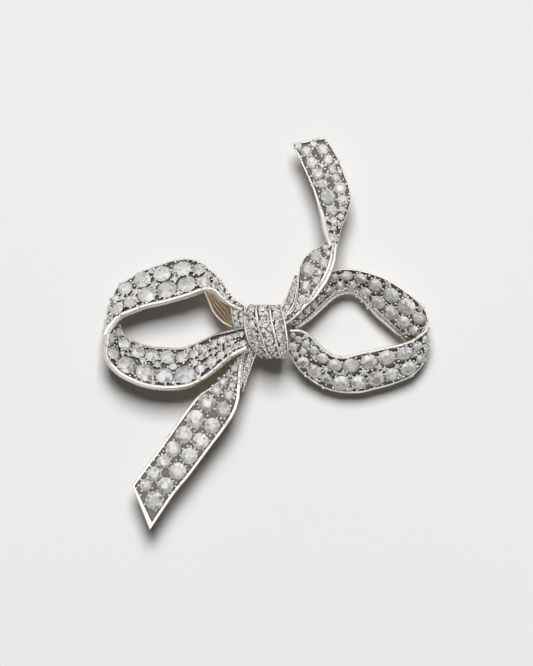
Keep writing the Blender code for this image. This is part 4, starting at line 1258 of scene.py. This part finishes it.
def bar_half_width(p):
    """The bar swells to a disc at the knot and to a pad under the hinge and under the catch."""
    half = BAR_HALF_WIDTH
    if abs(p) < DISC_RADIUS:
        half = max(half, math.sqrt(DISC_RADIUS**2 - p * p))
    for centre in (HINGE_P, CATCH_P):
        beyond = abs(p - centre) / PAD_HALF_LENGTH
        if beyond < 1:
            half = max(half, PAD_HALF_WIDTH * (1 - beyond**6) ** (1 / 6))
    for end in BAR_ENDS:
        inward = min(1, abs(p - end) / BAR_END_ROUND)
        half = min(half, math.sqrt(max(0.02, 1 - (1 - inward) ** 2)) * half)
    return half


def build_bar(looks):
    rings = []
    for p in np.linspace(*BAR_ENDS, BAR_STEPS):
        half = bar_half_width(p)
        section = corner_arcs((-half, 0.0), (half, BAR_TOP), min(BAR_ROUND, half * 0.4))
        rings.append([(p, q, z) for q, z in section])
    bar = Shells()
    bar.loft(rings)
    bar.add("bar", looks["fittings"], "back_bar")


def build_posts(looks):
    for name in ("leaf_post", "tail_post"):
        low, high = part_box(name)
        x, y = (low.x + high.x) / 2 / MM, (low.y + high.y) / 2 / MM
        p = x * math.cos(PIN_TURN) + y * math.sin(PIN_TURN)
        q = y * math.cos(PIN_TURN) - x * math.sin(PIN_TURN)
        foot, top = low.z / MM, high.z / MM
        stations = [(foot, 0.6), (foot + 0.12, 0.6), (foot + 0.25, 0.5), (top - 0.08, 0.5), (top, 0.42)]
        post = Shells()
        post.loft(turned(stations, Z_AXIS, (p, q, 0)))
        post.add(name + "_turned", looks["fittings"], name)


def build_hinge(looks):
    outline = [(HINGE_P - EAR_HALF_LENGTH, FITTING_TOP), (HINGE_P + EAR_HALF_LENGTH, FITTING_TOP)]
    for k in range(25):
        angle = math.pi * k / 24
        depth = (EAR_BOTTOM - PIN_Z) * math.sin(angle)
        outline.append((HINGE_P + EAR_HALF_LENGTH * math.cos(angle), PIN_Z + depth))
    bracket = Shells()
    for low, high in ((-EAR_OUTER, -EAR_INNER), (EAR_INNER, EAR_OUTER)):
        bracket.loft(soft_slab(outline, low, high, Q_AXIS))
    web = rectangle(HINGE_P - EAR_HALF_LENGTH, HINGE_P + EAR_HALF_LENGTH, EAR_OUTER)
    bracket.loft(soft_slab(web, WEB_BOTTOM, FITTING_TOP, Z_AXIS))
    bracket.add("hinge_ears", looks["fittings"], "hinge_bracket")

    head = [(EAR_OUTER - 0.1, RIVET_RADIUS)]
    for k in range(9):
        angle = math.pi / 2 * k / 8
        place = EAR_OUTER + 0.04 + RIVET_DOME * math.sin(angle)
        head.append((place, max(0.02, RIVET_HEAD * math.cos(angle))))
    rivet = Shells()
    rivet.loft(turned([(-q, r) for q, r in reversed(head)] + head, Q_AXIS, (HINGE_P, 0, PIN_Z)))
    rivet.add("rivet", looks["fittings"], "hinge_rivet")


def pin_radius(p, share):
    """Radius at p, a share of the way from the eye to the tip."""
    radius = PIN_RADIUS - PIN_NECK * min(1, share * 6) - PIN_TAPER * share
    to_tip = max(0.0, (p - TIP_P) / POINT_LENGTH)
    return radius * min(1.0, 0.1 + 0.9 * to_tip**0.75)


def build_pin(looks):
    pin = Shells()
    side = EYE_HALF_WIDTH
    half = [(side - EYE_CHAMFER, EYE_RADIUS), (side, EYE_RADIUS - EYE_CHAMFER), (side, EYE_BORE)]
    eye = [(-q, r) for q, r in reversed(half)] + half
    pin.loft(turned(eye, Q_AXIS, (HINGE_P, 0, PIN_Z)))
    start = HINGE_P - 0.45
    shares = np.linspace(0, 1, 60)
    places = start + (TIP_P - start) * shares
    stations = [(p, pin_radius(p, share)) for p, share in zip(places, shares)]
    pin.loft(turned(stations, P_AXIS, (0, 0, PIN_Z)))
    pin.add("pin", looks["fittings"], "pin_stem", "pin")


def build_catch(looks):
    """A housing open towards the back, on a neck and an oval foot."""
    inner, outer = HOUSING_RADII
    reach = HOUSING_HALF_LENGTH
    housing = Shells()
    housing.loft(swept(corner_arcs((-reach, inner), (reach, outer), 0.09), HOUSING_MOUTH))
    outline = []
    for k in range(48):
        angle = 2 * math.pi * k / 48
        c, s = math.cos(angle), math.sin(angle)
        bulge = (abs(c) ** 5 + abs(s) ** 5) ** (-1 / 5)
        outline.append((CATCH_P + FOOT_HALF_LENGTH * c * bulge, FOOT_HALF_WIDTH * s * bulge))
    housing.loft(soft_slab(outline, FOOT_BOTTOM, FITTING_TOP, Z_AXIS))
    neck = rectangle(CATCH_P - reach, CATCH_P + reach, NECK_HALF_WIDTH)
    housing.loft(soft_slab(neck, PIN_Z + outer - NECK_SUNK, NECK_TOP, Z_AXIS, 0.06))
    housing.add("housing", looks["fittings"], "catch_housing")


def build_roller(looks):
    """A slotted roller with a flange on each side of its housing, and a tab to turn it by."""
    shoulder, end, soft = HOUSING_HALF_LENGTH + FLANGE_GAP, ROLLER_HALF_LENGTH, FLANGE_ROUND
    flange = [
        (shoulder, ROLLER_RADIUS), (shoulder, FLANGE_RADIUS - soft), (shoulder + soft, FLANGE_RADIUS),
        (end - soft, FLANGE_RADIUS), (end, FLANGE_RADIUS - soft), (end, ROLLER_BORE + soft),
    ]
    bore = [(end - soft, ROLLER_BORE), (soft - end, ROLLER_BORE)]
    roller = Shells()
    roller.loft(swept([(-p, r) for p, r in reversed(flange)] + flange + bore, ROLLER_SLOT))
    rings = []
    for share in np.linspace(0, 1, 24):
        knob = TAB_HALF_HEIGHT
        if share >= 0.6:
            knob -= 0.05 * math.cos(min(1, (share - 0.6) / 0.12) * math.pi / 2)
        tip = math.sqrt(max(0.04, 1 - max(0, (share - 0.85) / 0.15) ** 2))
        q = TAB_ROOT + (TAB_END - TAB_ROOT) * share
        middle = CATCH_P - (end + shoulder) / 2
        oval = ring(16, tip, q)
        rings.append([(middle + TAB_HALF_LENGTH * a, height, PIN_Z + knob * b) for a, b, height in oval])
    roller.loft(rings)
    roller.add("roller", looks["fittings"], "safety_roller", "roller")


# ---- studio ----

CAMERA_HEIGHT = 1.2
FRAME_HEIGHT = 0.10246
FRAME_CENTRE = (-0.00023, -0.00046)
FOCUS_PLANE = 0.0015
SENSOR = 36.0
FLOOR_Z = cad_box[0].z
FLOOR_REACH = 4.0
SOFTBOX_TILT = math.radians(31)  # from straight above, towards +Y
SOFTBOX_DISTANCE = 3.0
SOFTBOX_SIZE = (1.2, 1.4)
SOFTBOX_POWER = 109
TENT_DIRECTION = (0.1, 0.4, 0.9)  # towards the tent's brightest side
TENT_LOW = 0.95
TENT_HIGH = 2.15
PANEL_SCALE = 3.5
PANEL_LOW = 0.35
FILL = 0.02


def add_to_scene(name, data):
    obj = bpy.data.objects.new(name, data)
    bpy.context.scene.collection.objects.link(obj)
    return obj


def make_camera():
    data = bpy.data.cameras.new("camera")
    data.sensor_width = SENSOR
    data.lens = SENSOR * (CAMERA_HEIGHT - FOCUS_PLANE) / FRAME_HEIGHT
    data.clip_start = 0.01
    data.clip_end = 20
    camera = add_to_scene("camera", data)
    camera.location = (*FRAME_CENTRE, CAMERA_HEIGHT)
    bpy.context.scene.camera = camera


def make_softbox():
    """A rectangular soft light aimed at the object, seen only by what it lights."""
    data = bpy.data.lights.new("softbox", "AREA")
    data.shape = "RECTANGLE"
    data.size, data.size_y = SOFTBOX_SIZE
    data.energy = SOFTBOX_POWER
    lamp = add_to_scene("softbox", data)
    direction = Vector((0.0, math.sin(SOFTBOX_TILT), math.cos(SOFTBOX_TILT)))
    lamp.location = direction * SOFTBOX_DISTANCE
    lamp.rotation_euler = direction.to_track_quat("Z", "Y").to_euler()
    lamp.visible_camera = False
    lamp.visible_glossy = False
    lamp.visible_transmission = False


def make_floor():
    mesh = bpy.data.meshes.new("floor")
    corners = [(-1, -1), (1, -1), (1, 1), (-1, 1)]
    mesh.from_pydata([(x * FLOOR_REACH, y * FLOOR_REACH, FLOOR_Z) for x, y in corners], [], [(0, 1, 2, 3)])
    made, tree = new_material("pale_floor")
    surface = {"Base Color": (0.8, 0.8, 0.8, 1), "Roughness": 0.9, "Specular IOR Level": 0.0}
    set_inputs(tree, tree.nodes["Principled BSDF"], surface)
    mesh.materials.append(made)
    add_to_scene("floor", mesh)


def make_world():
    """Weak even fill for the floor, and a tent of lighter and darker panels that the object reflects."""
    world = bpy.data.worlds.new("tent")
    world.use_nodes = True
    bpy.context.scene.world = world
    tree = world.node_tree
    direction = add_node(tree, "TexCoord", {}, "Generated")
    towards = add_node(
        tree, "VectorMath", {0: direction, 1: TENT_DIRECTION}, "Value", operation="DOT_PRODUCT"
    )
    limits = {"From Min": -0.3, "From Max": 0.9, "To Min": TENT_LOW, "To Max": TENT_HIGH}
    glow = add_node(
        tree, "MapRange", {**limits, "Value": towards}, "Result", interpolation_type="SMOOTHSTEP"
    )
    noise = add_node(tree, "TexNoise", {"Scale": PANEL_SCALE, "Detail": 1.0, "Vector": direction}, "Fac")
    limits = {"From Min": 0.38, "From Max": 0.6, "To Min": PANEL_LOW, "To Max": 1.0}
    panels = add_node(
        tree, "MapRange", {**limits, "Value": noise}, "Result", interpolation_type="SMOOTHSTEP"
    )
    tent = add_node(tree, "Math", {0: glow, 1: panels}, "Value", operation="MULTIPLY")
    bounces = add_node(tree, "LightPath", {}, "Diffuse Depth")
    strength = add_node(tree, "Mix", {"Factor": bounces, "A": tent, "B": FILL}, "Result", data_type="FLOAT")
    set_inputs(tree, tree.nodes["Background"], {"Color": (1, 1, 1, 1), "Strength": strength})


def make_studio():
    bpy.context.scene.view_settings.view_transform = "Standard"
    make_camera()
    make_floor()
    make_world()
    make_softbox()


random_source = random.Random(7)
all_looks = make_looks()
make_studio()
build_ribbons(all_looks, random_source)
build_lining(all_looks)
build_knot(all_looks, random_source)
build_bar(all_looks)
build_posts(all_looks)
build_hinge(all_looks)
build_pin(all_looks)
build_catch(all_looks)
build_roller(all_looks)
